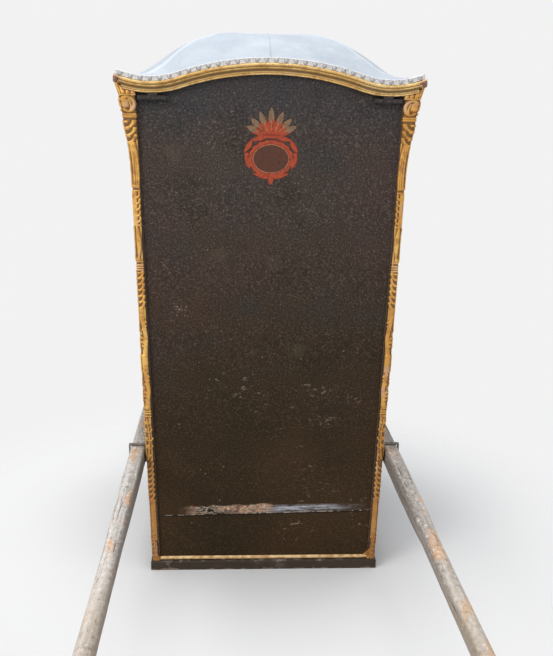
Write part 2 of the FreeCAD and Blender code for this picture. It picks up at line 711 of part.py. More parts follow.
# ---------------------------------------------------------------- poles and brackets
WALL_BY_BRACKET = lean("wide", "pole_tall + bracket_plate_tall / 2", "post_proud")
POLE_SIDE = f"({WALL_BY_BRACKET} + pole_clear + pole_thick / 2)"


def build_poles():
    """A square bar that turns slowly round towards its grips: the common solid of a bar and a turned form."""
    bar = box("pole_bar", (f"{POLE_SIDE} - pole_thick / 2", f"{POLE_SIDE} + pole_thick / 2"),
              ("-pole_long / 2", "pole_long / 2"),
              ("pole_tall - pole_thick / 2", "pole_tall + pole_thick / 2"))
    wide = "(pole_thick / sqrt(2) + pole_spare)"
    half = "pole_long / 2"
    profile = [
        ("0", f"-{half}"), ("grip_radius - grip_end", f"-{half}", "grip_end", 1),
        ("grip_radius", f"-{half} + grip_end"),
        ("grip_radius", "-pole_square_half - pole_taper"), (wide, "-pole_square_half"),
        (wide, "pole_square_half"), ("grip_radius", "pole_square_half + pole_taper"),
        ("grip_radius", f"{half} - grip_end", "grip_end", 1), ("grip_radius - grip_end", half),
        ("0", half),
    ]
    sketch = outline("pole_profile", "XY", profile)
    turned = doc.addObject("Part::Revolution", "pole_turned")
    turned.Source = sketch
    turned.Axis = V(0, 1, 0)
    turned.Angle = 360
    turned.Solid = True
    bind(turned, "Placement.Base.x", POLE_SIDE)
    bind(turned, "Placement.Base.z", "pole_tall")
    right = made("Common", "pole", bar, turned)
    node("pole_right", right)
    node("pole_left", mirrored("pole_mirror", right, V(1, 0, 0)))


def build_brackets():
    """Iron brackets: a plate against the leaning wall, and a square strap in which the pole rests."""
    inner = f"({POLE_SIDE} - pole_thick / 2 - strap_play)"
    outer = f"({POLE_SIDE} + pole_thick / 2 + strap_play)"
    floor = "(pole_tall - pole_thick / 2 - pole_seat)"
    head = "(pole_tall + pole_thick / 2 + strap_play)"
    low = "(pole_tall - bracket_plate_tall / 2)"
    high = "(pole_tall + bracket_plate_tall / 2)"
    wall_low = lean("wide", low, "post_proud")
    wall_high = lean("wide", high, "post_proud")
    plate = outline("bracket_plate", "XZ", [
        (wall_low, low), (f"{wall_low} + bracket_plate_thick", low),
        (f"{inner} - strap_thick", f"{floor} - strap_thick"),
        (f"{inner} - strap_thick", f"{head} + strap_thick"),
        (f"{wall_high} + bracket_plate_thick", high), (wall_high, high),
    ])
    strap = outline("bracket_strap", "XZ", [
        (f"{inner} - strap_thick", f"{floor} - strap_thick"),
        (f"{outer} + strap_thick", f"{floor} - strap_thick"),
        (f"{outer} + strap_thick", f"{head} + strap_thick"),
        (f"{inner} - strap_thick", f"{head} + strap_thick"),
    ], [(inner, floor), (outer, floor), (outer, head), (inner, head)])
    plate_out = drawn("bracket_plate_out", plate, "bracket_place - bracket_plate_wide / 2",
                      "bracket_place + bracket_plate_wide / 2")
    strap_out = drawn("bracket_strap_out", strap, "bracket_place - strap_wide / 2",
                      "bracket_place + strap_wide / 2")
    front = made("Fuse", "bracket", plate_out, strap_out)
    node("bracket_front_right", front)
    node("bracket_front_left", mirrored("bracket_fl", front, V(1, 0, 0)))
    back = mirrored("bracket_br", front, V(0, 1, 0))
    node("bracket_back_right", back)
    node("bracket_back_left", mirrored("bracket_bl", back, V(1, 0, 0)))


# ---------------------------------------------------------------- seat
def build_seat():
    """A board between the side walls, a panel under its front edge, and two cushions."""
    rear = f"-{lean('deep', 'base_tall', POST)}"
    front = f"{rear} + seat_deep"
    reach = lean("wide", "base_tall", POST)
    board = box("seat", (f"-{reach}", reach), (rear, front), ("seat_tall - seat_thick", "seat_tall"))
    node("seat_board", board)
    riser = box("seat_riser", (f"-{reach}", reach),
                (f"{front} - seat_front_thick - seat_nose", f"{front} - seat_nose"),
                ("base_tall", "seat_tall - seat_thick"))
    node("seat_front", riser)

    def cushion(name, x, y, z):
        block = box(f"{name}_block", x, y, z)
        doc.recompute()
        soft = doc.addObject("Part::Chamfer", name)
        soft.Base = block
        radius = value("cushion_round")
        soft.Edges = [(i, radius, radius) for i in range(1, 13)]
        return soft

    node("seat_cushion", cushion("cushion", (f"-{reach} + cushion_gap", f"{reach} - cushion_gap"),
                                 (f"{rear} + cushion_gap", f"{front} - cushion_nose"),
                                 ("seat_tall + cushion_rest", "seat_tall + cushion_tall")))
    pad = cushion("back_pad", (f"-{reach} + pad_side_gap", f"{reach} - pad_side_gap"),
                  ("0", "back_pad_thick"), ("0", "back_pad_head - back_pad_foot"))
    node("back_cushion", pad)
    doc.recompute()
    rear_face = value("pad_rest") - value(lean("deep", "back_pad_foot", POST))
    turn = FreeCAD.Rotation(V(1, 0, 0), lean_angle())
    pad.Placement = FreeCAD.Placement(V(0, rear_face, value("back_pad_foot")), turn)


build_base()
build_walls()
build_windows()
build_posts()
build_beads()
build_door()
build_door_hinges()
build_knob()
build_cornice()
build_dome()
build_roof_hinges()
build_poles()
build_brackets()
build_seat()
doc.recompute()

# ---------------------------------------------------------------- check and write
failed = [thing.Name for thing in doc.Objects if {"Invalid", "Error"} & set(thing.State)]
for name, thing in NODES.items():
    shape = thing.Shape
    if shape.isNull() or not shape.isValid() or shape.Volume <= 0:
        failed.append(name)
if failed:
    raise RuntimeError(f"these objects failed: {failed}")
os.makedirs("parts", exist_ok=True)
for name, thing in NODES.items():
    thing.Shape.exportStep(f"parts/{name}.step")
print(f"{len(NODES)} nodes written")
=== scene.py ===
# %% [markdown]
# A sedan chair: a tapered cabin on a dark plinth, covered in varnished leather, with gilt carved corner
# posts, an arched gilt cornice, a padded leather roof and two carrying poles. The construction comes from
# the frame. This lesson dresses it: carving, leather, gilding, nails, cushions. Everything is in metres,
# +Z up, and the back of the chair faces -Y. One cell makes one thing and prints what it made.

# %% The frame
import bpy
import bmesh
import json
import math
import numpy as np
from mathutils import Matrix, Vector


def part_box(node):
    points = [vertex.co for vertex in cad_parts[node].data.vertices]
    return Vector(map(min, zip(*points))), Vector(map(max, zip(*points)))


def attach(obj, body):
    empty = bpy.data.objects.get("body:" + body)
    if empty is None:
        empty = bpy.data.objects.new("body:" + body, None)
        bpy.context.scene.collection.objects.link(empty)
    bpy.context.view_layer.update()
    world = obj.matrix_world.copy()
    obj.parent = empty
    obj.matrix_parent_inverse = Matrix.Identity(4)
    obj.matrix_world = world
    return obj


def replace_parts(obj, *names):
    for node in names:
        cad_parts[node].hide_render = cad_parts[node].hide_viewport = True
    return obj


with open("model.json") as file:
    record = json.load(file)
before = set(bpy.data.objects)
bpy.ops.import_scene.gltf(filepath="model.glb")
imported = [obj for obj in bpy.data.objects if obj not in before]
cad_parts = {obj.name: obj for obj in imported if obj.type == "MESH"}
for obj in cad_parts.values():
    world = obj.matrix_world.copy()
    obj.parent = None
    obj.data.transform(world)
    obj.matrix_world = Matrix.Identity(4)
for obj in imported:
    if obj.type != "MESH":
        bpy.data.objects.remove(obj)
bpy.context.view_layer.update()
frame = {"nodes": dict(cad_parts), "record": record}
record = frame["record"]
print(len(record["subparts"]), "frame pieces loaded")

# %% [markdown]
# The cabin widens from foot to head, and its eaves are arched: one long arc over the crown, and a short
# arc the other way up into each corner tip. The same few sizes as the frame's give every point of both, so
# the dress fits the construction wherever it is laid.

# %% The chair's sizes and lines
FOOT, HEAD = 0.030, 1.416
HALF_FOOT = {"wide": 0.341, "deep": 0.397}
HALF_HEAD = {"wide": 0.382, "deep": 0.430}
POST, POST_PROUD = 0.022, 0.006
FLARE_FROM, FLARE = 1.150, {"wide": 0.021, "deep": 0.009}
EAVES, TIP_RISE, TIP_RUN = 1.418, 0.017, 0.093
CROWN_RISE = {"wide": 0.052, "deep": 0.018}
CORNICE_OUT, CORNICE_TALL = 0.034, 0.029
DOME_TOP, DOME_THICK, DOME_INSET, DOME_SEAT = 1.598, 0.012, 0.007, 0.0005
DOME_FALL, SHOULDER = 0.065, {"wide": 6.0, "deep": 4.5}
POLE_AT, POLE_HIGH, POLE_HALF = 0.383085, 0.360, 0.023
OTHER = {"wide": "deep", "deep": "wide"}
LEAN = {side: (HALF_HEAD[side] - HALF_FOOT[side]) / (HEAD - FOOT) for side in HALF_HEAD}


def half(side, z):
    """Half the cabin's width or depth over the posts, at a height."""
    return HALF_FOOT[side] + (HALF_HEAD[side] - HALF_FOOT[side]) * (z - FOOT) / (HEAD - FOOT)


RIM = {side: HALF_HEAD[side] + CORNICE_OUT - DOME_INSET for side in HALF_HEAD}
LOW = {side: HALF_HEAD[side] + CORNICE_OUT - TIP_RUN for side in HALF_HEAD}
TIP_RADIUS = (TIP_RUN ** 2 + TIP_RISE ** 2) / 2 / TIP_RISE
CROWN_RADIUS = {s: (LOW[s] ** 2 + CROWN_RISE[s] ** 2) / 2 / CROWN_RISE[s] - TIP_RADIUS for s in LOW}


def eaves(side, along, over=0.0):
    """Height of the eaves line, or of a line at a set distance over it, at a distance from the middle."""
    crown = CROWN_RADIUS[side]
    along = np.abs(along)
    turn = LOW[side] * (1 - TIP_RADIUS / (crown + TIP_RADIUS)) * (crown + over) / crown
    arch = CROWN_RISE[side] - crown + np.sqrt(np.maximum((crown + over) ** 2 - along ** 2, 0))
    tip = TIP_RADIUS - np.sqrt(np.maximum((TIP_RADIUS - over) ** 2 - (along - LOW[side]) ** 2, 0))
    return EAVES + np.where(along < turn, arch, tip)


print("eaves low", round(float(eaves("wide", LOW["wide"])), 4), "crown", round(float(eaves("wide", 0)), 4))

# %% [markdown]
# Most pieces here are sheets of points: a grid, rows by columns, that may close on itself. One function
# turns such a grid into a smooth mesh with a value stored at every point, which the finishes read: how
# high the carving stands there, so that hollows are painted dark, partly as shade, and ridges shine.

# %% Making meshes
def add_object(name, data):
    """An object of the scene that holds a mesh, a lamp or a camera."""
    piece = bpy.data.objects.new(name, data)
    bpy.context.scene.collection.objects.link(piece)
    return piece


def settled_mesh(piece):
    """The plain mesh that a piece's modifiers make."""
    bpy.context.view_layer.update()
    shown = piece.evaluated_get(bpy.context.evaluated_depsgraph_get())
    return bpy.data.meshes.new_from_object(shown)


def mesh_piece(name, points, faces, material, relief=None, smooth=True):
    """A mesh object from points and faces, with the carving's height from 0 to 1 stored at each point."""
    mesh = bpy.data.meshes.new(name)
    mesh.from_pydata([tuple(p) for p in np.asarray(points, float)], [], [tuple(f) for f in faces])
    mesh.validate()
    if relief is not None:
        stored = mesh.attributes.new("relief", "FLOAT", "POINT")
        stored.data.foreach_set("value", np.asarray(relief, np.float32).ravel())
    if smooth:
        mesh.shade_smooth()
    mesh.materials.append(material)
    return add_object(name, mesh)


def grid_faces(rows, columns, around=False, along=False, flip=False, start=0):
    """Four-sided faces of a grid of points. It may close across the columns (around) or the rows (along)."""
    r = np.arange(rows if along else rows - 1)
    c = np.arange(columns if around else columns - 1)
    a, b = [g.ravel() for g in np.meshgrid(r, c, indexing="ij")]
    a2, b2 = (a + 1) % rows, (b + 1) % columns
    quads = np.stack([a * columns + b, a * columns + b2, a2 * columns + b2, a2 * columns + b], 1) + start
    return (quads[:, ::-1] if flip else quads).tolist()


def sheet(name, x, y, z, material, tone, around=False, along=False, flip=False, caps=(), smooth=True):
    """A mesh from a grid of points, given as three tables, with any faces that close its ends."""
    points = np.stack([x, y, z], 2).reshape(-1, 3)
    faces = grid_faces(*x.shape, around, along, flip) + list(caps)
    return mesh_piece(name, points, faces, material, tone, smooth)


def end_rings(rows, columns):
    """The two faces that close a tube whose rings are the rows of a grid."""
    return [list(range(columns)), [(rows - 1) * columns + k for k in reversed(range(columns))]]


def end_columns(rows, columns):
    """The two faces that close a bar whose section runs down the columns of a grid."""
    return [[i * columns for i in range(rows)], [(i + 1) * columns - 1 for i in reversed(range(rows))]]


def face_outwards(piece):
    """Turn every face of a closed piece to look outwards."""
    work = bmesh.new()
    work.from_mesh(piece.data)
    bmesh.ops.remove_doubles(work, verts=work.verts, dist=1e-6)
    bmesh.ops.recalc_face_normals(work, faces=work.faces)
    work.to_mesh(piece.data)
    work.free()
    return piece


print("a grid of 3 by 4 points has", len(grid_faces(3, 4)), "faces")

# %% [markdown]
# Nothing old is quite even. Smooth random numbers, made from a few sizes of steps and a fixed seed, push
# the points of carving, cornice, hide and poles about by a fraction of a millimetre.

# %% Uneven wear
def worn_noise(shape, seed, steps):
    """Smooth uneven numbers from about -1 to 1 on a grid, made of a few sizes of random steps."""
    random = np.random.default_rng(seed)
    total = np.zeros(shape)
    for step in steps:
        coarse = random.normal(size=(max(2, shape[0] // step + 2), max(2, shape[1] // step + 2)))
        r = np.linspace(0, coarse.shape[0] - 1.001, shape[0])
        c = np.linspace(0, coarse.shape[1] - 1.001, shape[1])
        i, j = r.astype(int), c.astype(int)
        u, v = (r - i)[:, None], (c - j)[None, :]
        u, v = u * u * (3 - 2 * u), v * v * (3 - 2 * v)
        rows = coarse[i] * (1 - u) + coarse[i + 1] * u
        total += (rows[:, j] * (1 - v) + rows[:, j + 1] * v) / len(steps)
    return total


print("wear on a small sheet runs up to", round(float(worn_noise((20, 20), 1, (3, 7)).max()), 2))

# %% [markdown]
# A finish is a small sum over the surface: patches, streaks, cracks and wear, each a number from 0 to 1.
# The class below lets those sums be written as plain arithmetic. Patterns are laid in the object's own
# metres, so that a grain or a crack has its true size.

# %% Writing finishes as arithmetic
class Field:
    """A number, vector or colour that varies over a surface."""

    def __init__(self, finish, socket):
        self.finish, self.socket = finish, socket

    def sum(self, kind, *others):
        """One kind of sum over this field and any others."""
        return self.finish.add("ShaderNodeMath", dict(enumerate((self, *others))), operation=kind)

    def __rsub__(self, other):
        return self * -1.0 + other

    def rise(self, low, high):
        """0 below low and 1 above high, with a soft step between; falls if low is over high."""
        ends = {"Value": self, "From Min": low, "From Max": high}
        return self.finish.add("ShaderNodeMapRange", ends, interpolation_type="SMOOTHSTEP")


def sum_of(kind):
    """A way to write one kind of sum, with no other number or with one."""
    return lambda field, *others: field.sum(kind, *others)


SUMS = {"__add__": "ADD", "__radd__": "ADD", "__sub__": "SUBTRACT", "__mul__": "MULTIPLY",
        "__rmul__": "MULTIPLY", "most": "MAXIMUM", "size": "ABSOLUTE", "wave": "SINE"}
for written, kind in SUMS.items():
    setattr(Field, written, sum_of(kind))
print("sums that a field can be written in:", ", ".join(SUMS))

# %% [markdown]
# A finish owns its material. It adds nodes, joins fields to their inputs, and sets plain numbers straight
# on the shader.

# %% A finish and its nodes
class Finish:
    """A material and its node tree."""

    def __init__(self, name, **constants):
        self.material = bpy.data.materials.new(name)
        self.material.use_nodes = True
        self.tree = self.material.node_tree
        self.coat = self.tree.nodes["Principled BSDF"]
        self.colour = None
        for key, number in constants.items():
            self.coat.inputs[key.replace("_", " ")].default_value = number
        self.place = self.add("ShaderNodeTexCoord", out="Object")
        self.x, self.y, self.z = [self.add("ShaderNodeSeparateXYZ", {0: self.place}, out=i) for i in range(3)]

    def add(self, kind, inputs=None, out=0, **settings):
        """Any other node: its settings, its inputs by name or number, and which of its results is wanted."""
        node = self.tree.nodes.new(kind)
        for key, setting in settings.items():
            setattr(node, key, setting)
        for key, given in (inputs or {}).items():
            self.join(given, node.inputs[key])
        return Field(self, node.outputs[out])

    def join(self, given, socket):
        if isinstance(given, Field):
            self.tree.links.new(given.socket, socket)
        else:
            socket.default_value = given

    def stretched(self, x, y, z):
        """The surface's place with each axis scaled, for grain that runs one way."""
        return self.add("ShaderNodeVectorMath", {0: self.place, 1: (x, y, z)}, operation="MULTIPLY")

    def noise(self, scale, detail=3.0, rough=0.55, place=None, twist=0.0):
        inputs = {"Vector": place or self.place, "Scale": scale, "Detail": detail, "Roughness": rough,
                  "Distortion": twist}
        return self.add("ShaderNodeTexNoise", inputs)

    def cells(self, scale, feature="F1", place=None):
        inputs = {"Vector": place or self.place, "Scale": scale}
        return self.add("ShaderNodeTexVoronoi", inputs, out="Distance", feature=feature)

    def mix(self, amount, first, second):
        """From the first colour to the second as the amount goes from 0 to 1. Plain colours are 0 to 255."""
        first, second = [(*paint(*c), 1) if isinstance(c, tuple) else c for c in (first, second)]
        node = self.tree.nodes.new("ShaderNodeMix")
        node.data_type = "RGBA"
        sockets = {s.identifier: s for s in node.inputs}
        for key, given in (("Factor_Float", amount), ("A_Color", first), ("B_Color", second)):
            self.join(given, sockets[key])
        return Field(self, next(s for s in node.outputs if s.identifier == "Result_Color"))

    def lay(self, amount, coat):
        """Lay a coat of another colour over the finish where the amount says so."""
        self.colour = self.mix(amount, self.colour, coat)

    def stored(self):
        """The carving's height that was stored on the mesh."""
        return self.add("ShaderNodeAttribute", out="Fac", attribute_name="relief")

    def bump(self, height, distance, strength):
        inputs = {"Height": height, "Distance": distance, "Strength": strength}
        return self.add("ShaderNodeBump", inputs)

    def done(self, **results):
        """Join the colour and the other results to the shader, and give the material."""
        if self.colour:
            results["Base_Color"] = self.colour
        for key, given in results.items():
            self.join(given, self.coat.inputs[key.replace("_", " ")])
        return self.material


def paint(r, g, b):
    """A colour given as 0 to 255, as the renderer wants it."""
    return tuple((c / 255 / 12.92) if c < 10.3 else ((c / 255 + 0.055) / 1.055) ** 2.4 for c in (r, g, b))


print("a middle grey of 128 is", round(paint(128, 128, 128)[0], 3), "to the renderer")

# %% [markdown]
# The cabin is covered with thin black-brown leather over boards, varnished many times. Old varnish shrinks
# into a net of fine cracks, and the hide's weave of pores shows through. Towards the top it is painted paler
# and greyer, with a blue-grey band under the cornice: a painted sheen and reflection of the varnish. On the
# back a strip near the foot has been torn and rubbed down to its pinkish ground, with small scuffs elsewhere.
# Inside, the same panels carry a striped silk lining, so one finish holds both and changes at the wall's
# inner face.

# %% Leather of the walls
def wall_leather(name, torn):
    f = Finish(name, IOR=1.45, Specular_IOR_Level=0.14)
    broad = f.noise(2.2, 4, 0.55)
    patches = f.noise(5.2, 4, 0.6)
    net = f.cells(120.0, "DISTANCE_TO_EDGE", f.stretched(1, 1, 0.8)).rise(0.0, 0.09)
    fine = f.cells(420.0, "DISTANCE_TO_EDGE").rise(0.0, 0.22)
    grains = f.noise(205.0, 3, 0.8)
    height = f.z.rise(0.10, 1.35)
    # The colour, its patches and its flecks turn paler and greyer towards the top: a painted sheen of the
    # varnish.
    f.colour = f.mix(height * height, (50, 36, 18), (70, 60, 54))
    f.lay(broad.rise(0.42, 0.62) * 0.6 * height, (72, 54, 50))
    f.lay(patches.rise(0.50, 0.68) * 0.55 * height, (46, 52, 54))
    # A blue-grey band under the cornice: a painted reflection of the sky in the varnish.
    f.lay((f.z + (broad - 0.5) * 0.3).rise(1.26, 1.42) * 0.5, (60, 64, 70))
    f.lay(patches.rise(0.48, 0.34) * 0.35, (38, 32, 18))
    f.lay(broad.rise(0.44, 0.60) * 0.5 * (1 - height), (68, 47, 27))
    fleck = f.mix(height, (102, 86, 60), (124, 113, 105))
    f.lay(grains.rise(0.51, 0.70) * (0.42 + 0.33 * height), fleck)
    f.lay(grains.rise(0.47, 0.32) * 0.5, (22, 17, 10))
    f.lay((1 - net) * 0.25, (22, 17, 12))
    worn = scuffs(f)
    rough = 0.46 + 0.16 * patches + 0.2 * worn
    relief = net * 0.3 + fine * 0.15 + grains * 0.35 + f.noise(26.0, 4, 0.6) * 0.4 - worn * 0.5
    if torn:
        marks(f)
        rough, relief = tear(f, rough, relief)
    inside = lining_mask(f)
    cloth = ((f.x + f.y) * 1900.0).wave() * (f.z * 1900.0).wave()
    stripe = ((f.x + f.y) * 92.0).wave().rise(0.55, 0.75)
    silk_lining = f.mix(stripe, (150, 58, 52), (196, 150, 104))
    silk_lining = f.mix(f.noise(2.3, 4, 0.6).rise(0.3, 0.75) * 0.4, silk_lining, (110, 50, 44))
    f.lay(inside, silk_lining)
    rough = rough * (1 - inside) + 0.6 * inside
    skin = f.bump(relief * (1 - inside) + cloth * 0.12 * inside, 0.0012, 0.8)
    return f.done(Roughness=rough, Normal=skin)


print("the net of cracks is about", round(1000 / 120, 1), "mm wide")

# %% [markdown]
# Wear on the leather is laid over its colour: small rubs everywhere, and on the back its own stains,
# flakes and one torn fold. The places are given across from the middle and up from the floor.

# %% Rubs, stains and the tear
def scuffs(f):
    """Small pale rubs where the varnish has gone, in a few clusters and as single specks."""
    cluster = f.noise(3.4, 2, 0.5).rise(0.58, 0.66)
    rub = f.noise(52.0, 4, 0.75, f.stretched(0.7, 0.7, 1.5)).rise(0.60, 0.68) * cluster
    speck = f.cells(34.0).rise(0.10, 0.05) * f.noise(14.0, 2, 0.5).rise(0.56, 0.62)
    worn = rub.most(speck)
    f.lay(worn * 0.62, (150, 132, 116))
    return worn


RUBS = ((-0.290, 0.948, 0.014, 0.020), (-0.258, 0.830, 0.028, 0.040), (0.157, 0.578, 0.060, 0.022),
        (0.262, 0.550, 0.040, 0.020), (0.170, 0.480, 0.070, 0.018))
STAINS = ((-0.137, 0.977, 0.026), (0.013, 0.958, 0.030), (-0.262, 1.262, 0.034), (0.090, 0.700, 0.026))


def marks(f):
    """The back's own marks: round dull stains, and rubs where the varnish has flaked to the pale hide."""
    wobble = (f.noise(24.0, 4, 0.75) - 0.5) * 3.4
    for x, z, size in STAINS:
        far = ((f.x - x) * (f.x - x) + (f.z - z) * (f.z - z)) * (1 / size ** 2) + wobble
        f.lay(far.rise(1.1, -0.3) * 0.34, (90, 82, 66))
    flakes = f.noise(95.0, 5, 0.8, f.stretched(0.6, 1, 1.4)).rise(0.55, 0.62)
    for x, z, wide, tall in RUBS:
        far = ((f.x - x) * (1 / wide)).size().most(((f.z - z) * (1 / tall)).size()) + wobble
        f.lay(far.rise(1.0, 0.3) * flakes * 0.7, (158, 140, 122))


def tear(f, rough, relief):
    """The rubbed fold near the foot of the back: raw patches, a polished bulge with a painted highlight,
    a pale broken edge, and painted shade in the crease under it.
    """
    ragged = (f.noise(30.0, 5, 0.7) - 0.5) * 0.040
    line = f.z - 0.199 - f.x * 0.022
    across = (f.x - 0.005).size().rise(0.275, 0.175)
    left = f.x.rise(0.035, -0.005)
    streaks = f.noise(1.0, 5, 0.75, f.stretched(26, 1, 210))
    body = (line + ragged * 0.6).size().rise(0.0165, 0.0100) * across
    chips = f.noise(34.0, 5, 0.72, f.stretched(0.5, 1, 1.3))
    flakes = chips.rise(0.46, 0.53)
    raw = f.mix(f.noise(40.0, 4, 0.75).rise(0.42, 0.60), (204, 162, 130), (110, 86, 76))
    raw = f.mix(f.noise(55.0, 3, 0.7).rise(0.56, 0.64), raw, (222, 204, 186))
    raw = f.mix(f.noise(19.0, 4, 0.7).rise(0.50, 0.58) * 0.8, raw, (104, 94, 92))
    rims = (chips - 0.46).size().rise(0.016, 0.004)
    # The polished bulge is less rough and also carries a painted highlight, pale bluish streaks of reflected
    # light.
    polish_and_highlight = (line + 0.002).size().rise(0.016, 0.002) * f.x.rise(-0.02, 0.05) * f.x.rise(0.33, 0.12)
    edge = (line + 0.0145 + ragged * 0.10).size().rise(0.0017, 0.0005)
    edge = edge * f.x.size().rise(0.335, 0.29) * f.noise(55.0, 4, 0.75).rise(0.46, 0.58)
    # A dark line in the crease under the broken edge is painted shade.
    crease_shade = (line + 0.0175).size().rise(0.005, 0.0) * f.x.size().rise(0.335, 0.29)
    f.lay(body * flakes * left * 0.92, raw)
    f.lay(body * rims * left * 0.85, (226, 210, 192))
    f.lay(polish_and_highlight * streaks.rise(0.36, 0.62) * 0.95, (196, 197, 204))
    f.lay(crease_shade * 0.7, (16, 12, 8))
    f.lay(edge * 0.8, (204, 190, 174))
    rough = rough * (1 - polish_and_highlight) + 0.26 * polish_and_highlight
    swell = (line.size() * 70.0).rise(1.0, 0.0) * across
    return rough, relief + swell * 3.5 - body * flakes * left * 0.5


print(len(RUBS), "flaked rubs and", len(STAINS), "stains on the back")

# %% [markdown]
# The walls are lined with silk on their inner faces. Which face is the inner one is told by place, not by
# the way it faces, so that the lining stays inside when the door swings.

# %% Silk lining of the walls
def lining_mask(f):
    """1 on the inner faces of a wall, found by how far they stand inside the line of the posts."""
    inside = [f.x.size() - f.z * LEAN["wide"] - (HALF_FOOT["wide"] - FOOT * LEAN["wide"]),
              f.y.size() - f.z * LEAN["deep"] - (HALF_FOOT["deep"] - FOOT * LEAN["deep"])]
    return inside[0].most(inside[1]).rise(-0.0135, -0.0145)


leather_back = wall_leather("leather_back", True)
leather_side = wall_leather("leather_side", False)
print("leathers:", leather_back.name, "and", leather_side.name)

# %% [markdown]
# Gilding: leaf over red-brown clay on carved limewood. It stays bright on ridges, thins to the clay on the
# shoulders and is dark brown in the hollows, partly old dirt and partly painted shade. Some stretches are
# rubbed to a pinkish silver.

# %% Gilding
def gilding(name, bright, middle, deep, ruddy):
    f = Finish(name)
    cut = f.stored()
    uneven = f.noise(46.0, 4, 0.65)
    broad = f.noise(6.0, 3, 0.55)
    # The hollows are painted dark brown: partly old dirt, partly painted shade.
    hollow = (cut + (uneven - 0.5) * 0.35).rise(0.42, 0.02)
    gold = f.mix(broad.rise(0.3, 0.7), bright, middle)
    gold = f.mix(uneven.rise(0.42, 0.68) * 0.75, gold, ruddy)
    gold = f.mix(f.z.rise(0.62, 0.20) * 0.75, gold, ruddy)
    clay = f.noise(88.0, 4, 0.7).rise(0.60, 0.70)
    f.colour = f.mix(clay * 0.6, gold, (116, 70, 40))
    worn = (f.noise(7.0, 3, 0.6).rise(0.60, 0.70) * cut.rise(0.3, 0.9)).most(cut.rise(1.15, 1.45))
    f.lay(worn * 0.7, (206, 172, 146))
    f.lay(hollow * 0.85, deep)
    f.lay(cut.rise(-0.2, -0.6), (44, 36, 27))
    shine = (1 - hollow) * (1 - clay) * 0.42
    rough = 0.38 + 0.3 * hollow + 0.16 * uneven
    skin = f.bump(uneven * 0.4 + f.noise(260.0, 3, 0.6) * 0.3, 0.0006, 0.7)
    return f.done(Roughness=rough, Metallic=shine, Normal=skin)


gilt = gilding("gilt_wood", (240, 190, 102), (212, 154, 70), (92, 56, 24), (166, 108, 50))
gilt_rail = gilding("gilt_cornice", (255, 220, 150), (240, 192, 112), (84, 52, 22), (186, 136, 70))
print("gildings:", gilt.name, "and", gilt_rail.name)

# %% [markdown]
# The roof is leather over padding. Its pale blue-grey is a painted reflection of the sky on the glossy hide.
# The grain is coarse and fine cracks are darker. The side slopes and the dips of the puckers are painted
# darker as shade, and the folds over the hips are painted paler as a highlight.

# %% Roof leather
def roof_finish():
    f = Finish("roof_leather", IOR=1.45, Specular_IOR_Level=0.3)
    cloud = f.noise(4.2, 5, 0.6)
    grain = f.cells(260.0, "DISTANCE_TO_EDGE").rise(0.0, 0.25)
    fine = f.noise(300.0, 2, 0.6)
    cracks = f.noise(9.0, 5, 0.65, twist=0.5)
    line = (cracks - 0.5).size().rise(0.008, 0.0)
    hip = f.x.size() * (1 / RIM["wide"]) - f.y.size() * (1 / RIM["deep"])
    fold_and_highlight = (hip + (f.noise(5.0, 3, 0.6) - 0.5) * 0.16).size().rise(0.05, 0.0)
    # The pale blue-grey base colour is a painted reflection of the sky on the glossy hide.
    f.colour = f.mix(cloud.rise(0.32, 0.7), (170, 177, 184), (152, 160, 169))
    # The side slopes are painted darker as shade.
    f.lay(hip.rise(-0.06, 0.10) * 0.35, (142, 148, 156))
    f.lay(f.noise(11.0, 4, 0.65).rise(0.55, 0.80) * 0.4, (188, 194, 200))
    # A pale line along the hips is a painted highlight on their folds.
    f.lay(fold_and_highlight * 0.45, (200, 205, 210))
    f.lay(fine.rise(0.55, 0.75) * 0.35, (130, 136, 144))
    f.lay(line * 0.22, (112, 112, 114))
    # The dips of the puckers are painted darker as shade.
    hollow = f.stored().rise(0.50, 0.2)
    f.lay(hollow * 0.45, (112, 112, 116))
    rough = 0.44 + 0.22 * cloud
    skin = f.bump(grain * 0.25 + cloud * 0.9 + fine * 0.2 + fold_and_highlight * 0.8, 0.0014, 0.7)
    return f.done(Roughness=rough, Normal=skin)


roof_leather = roof_finish()
print("roof finish:", roof_leather.name)

# %% [markdown]
# Braid, iron, brass and thin gold are each one stuff with lighter and darker patches, so one function
# makes them all. The nails are tinned iron, rubbed bright on the crown and dark round the brim, partly with
# rust and partly as a painted shadow.

# %% Braid, nails and metals
def plain_finish(name, light, dark, rough, scale=60.0, metallic=0.0, depth=0.0004):
    """A surface of one stuff with lighter and darker patches, for braid, iron, brass and nails."""
    f = Finish(name, Metallic=metallic)
    patch = f.noise(scale, 4, 0.65)
    f.colour = f.mix(patch.rise(0.35, 0.68), light, dark)
    fine = f.noise(scale * 7, 3, 0.6)
    skin = f.bump(patch + fine * 0.4, depth, 0.6)
    return f.done(Roughness=rough + (patch - 0.5) * 0.3, Normal=skin)


def nail_finish():
    """Tinned heads, rubbed bright on the crown and dark round the brim, partly rust and dirt, partly painted
    shadow.
    """
    f = Finish("nail_tin", Metallic=0.15)
    patch = f.noise(130.0, 4, 0.65)
    f.colour = f.mix(patch.rise(0.4, 0.7), (192, 192, 197), (146, 144, 148))
    # The dark ring round the brim is partly rust and dirt, partly a painted shadow.
    f.lay(f.stored().rise(0.60, 0.25), (66, 64, 68))
    return f.done(Roughness=0.42 + patch * 0.2)


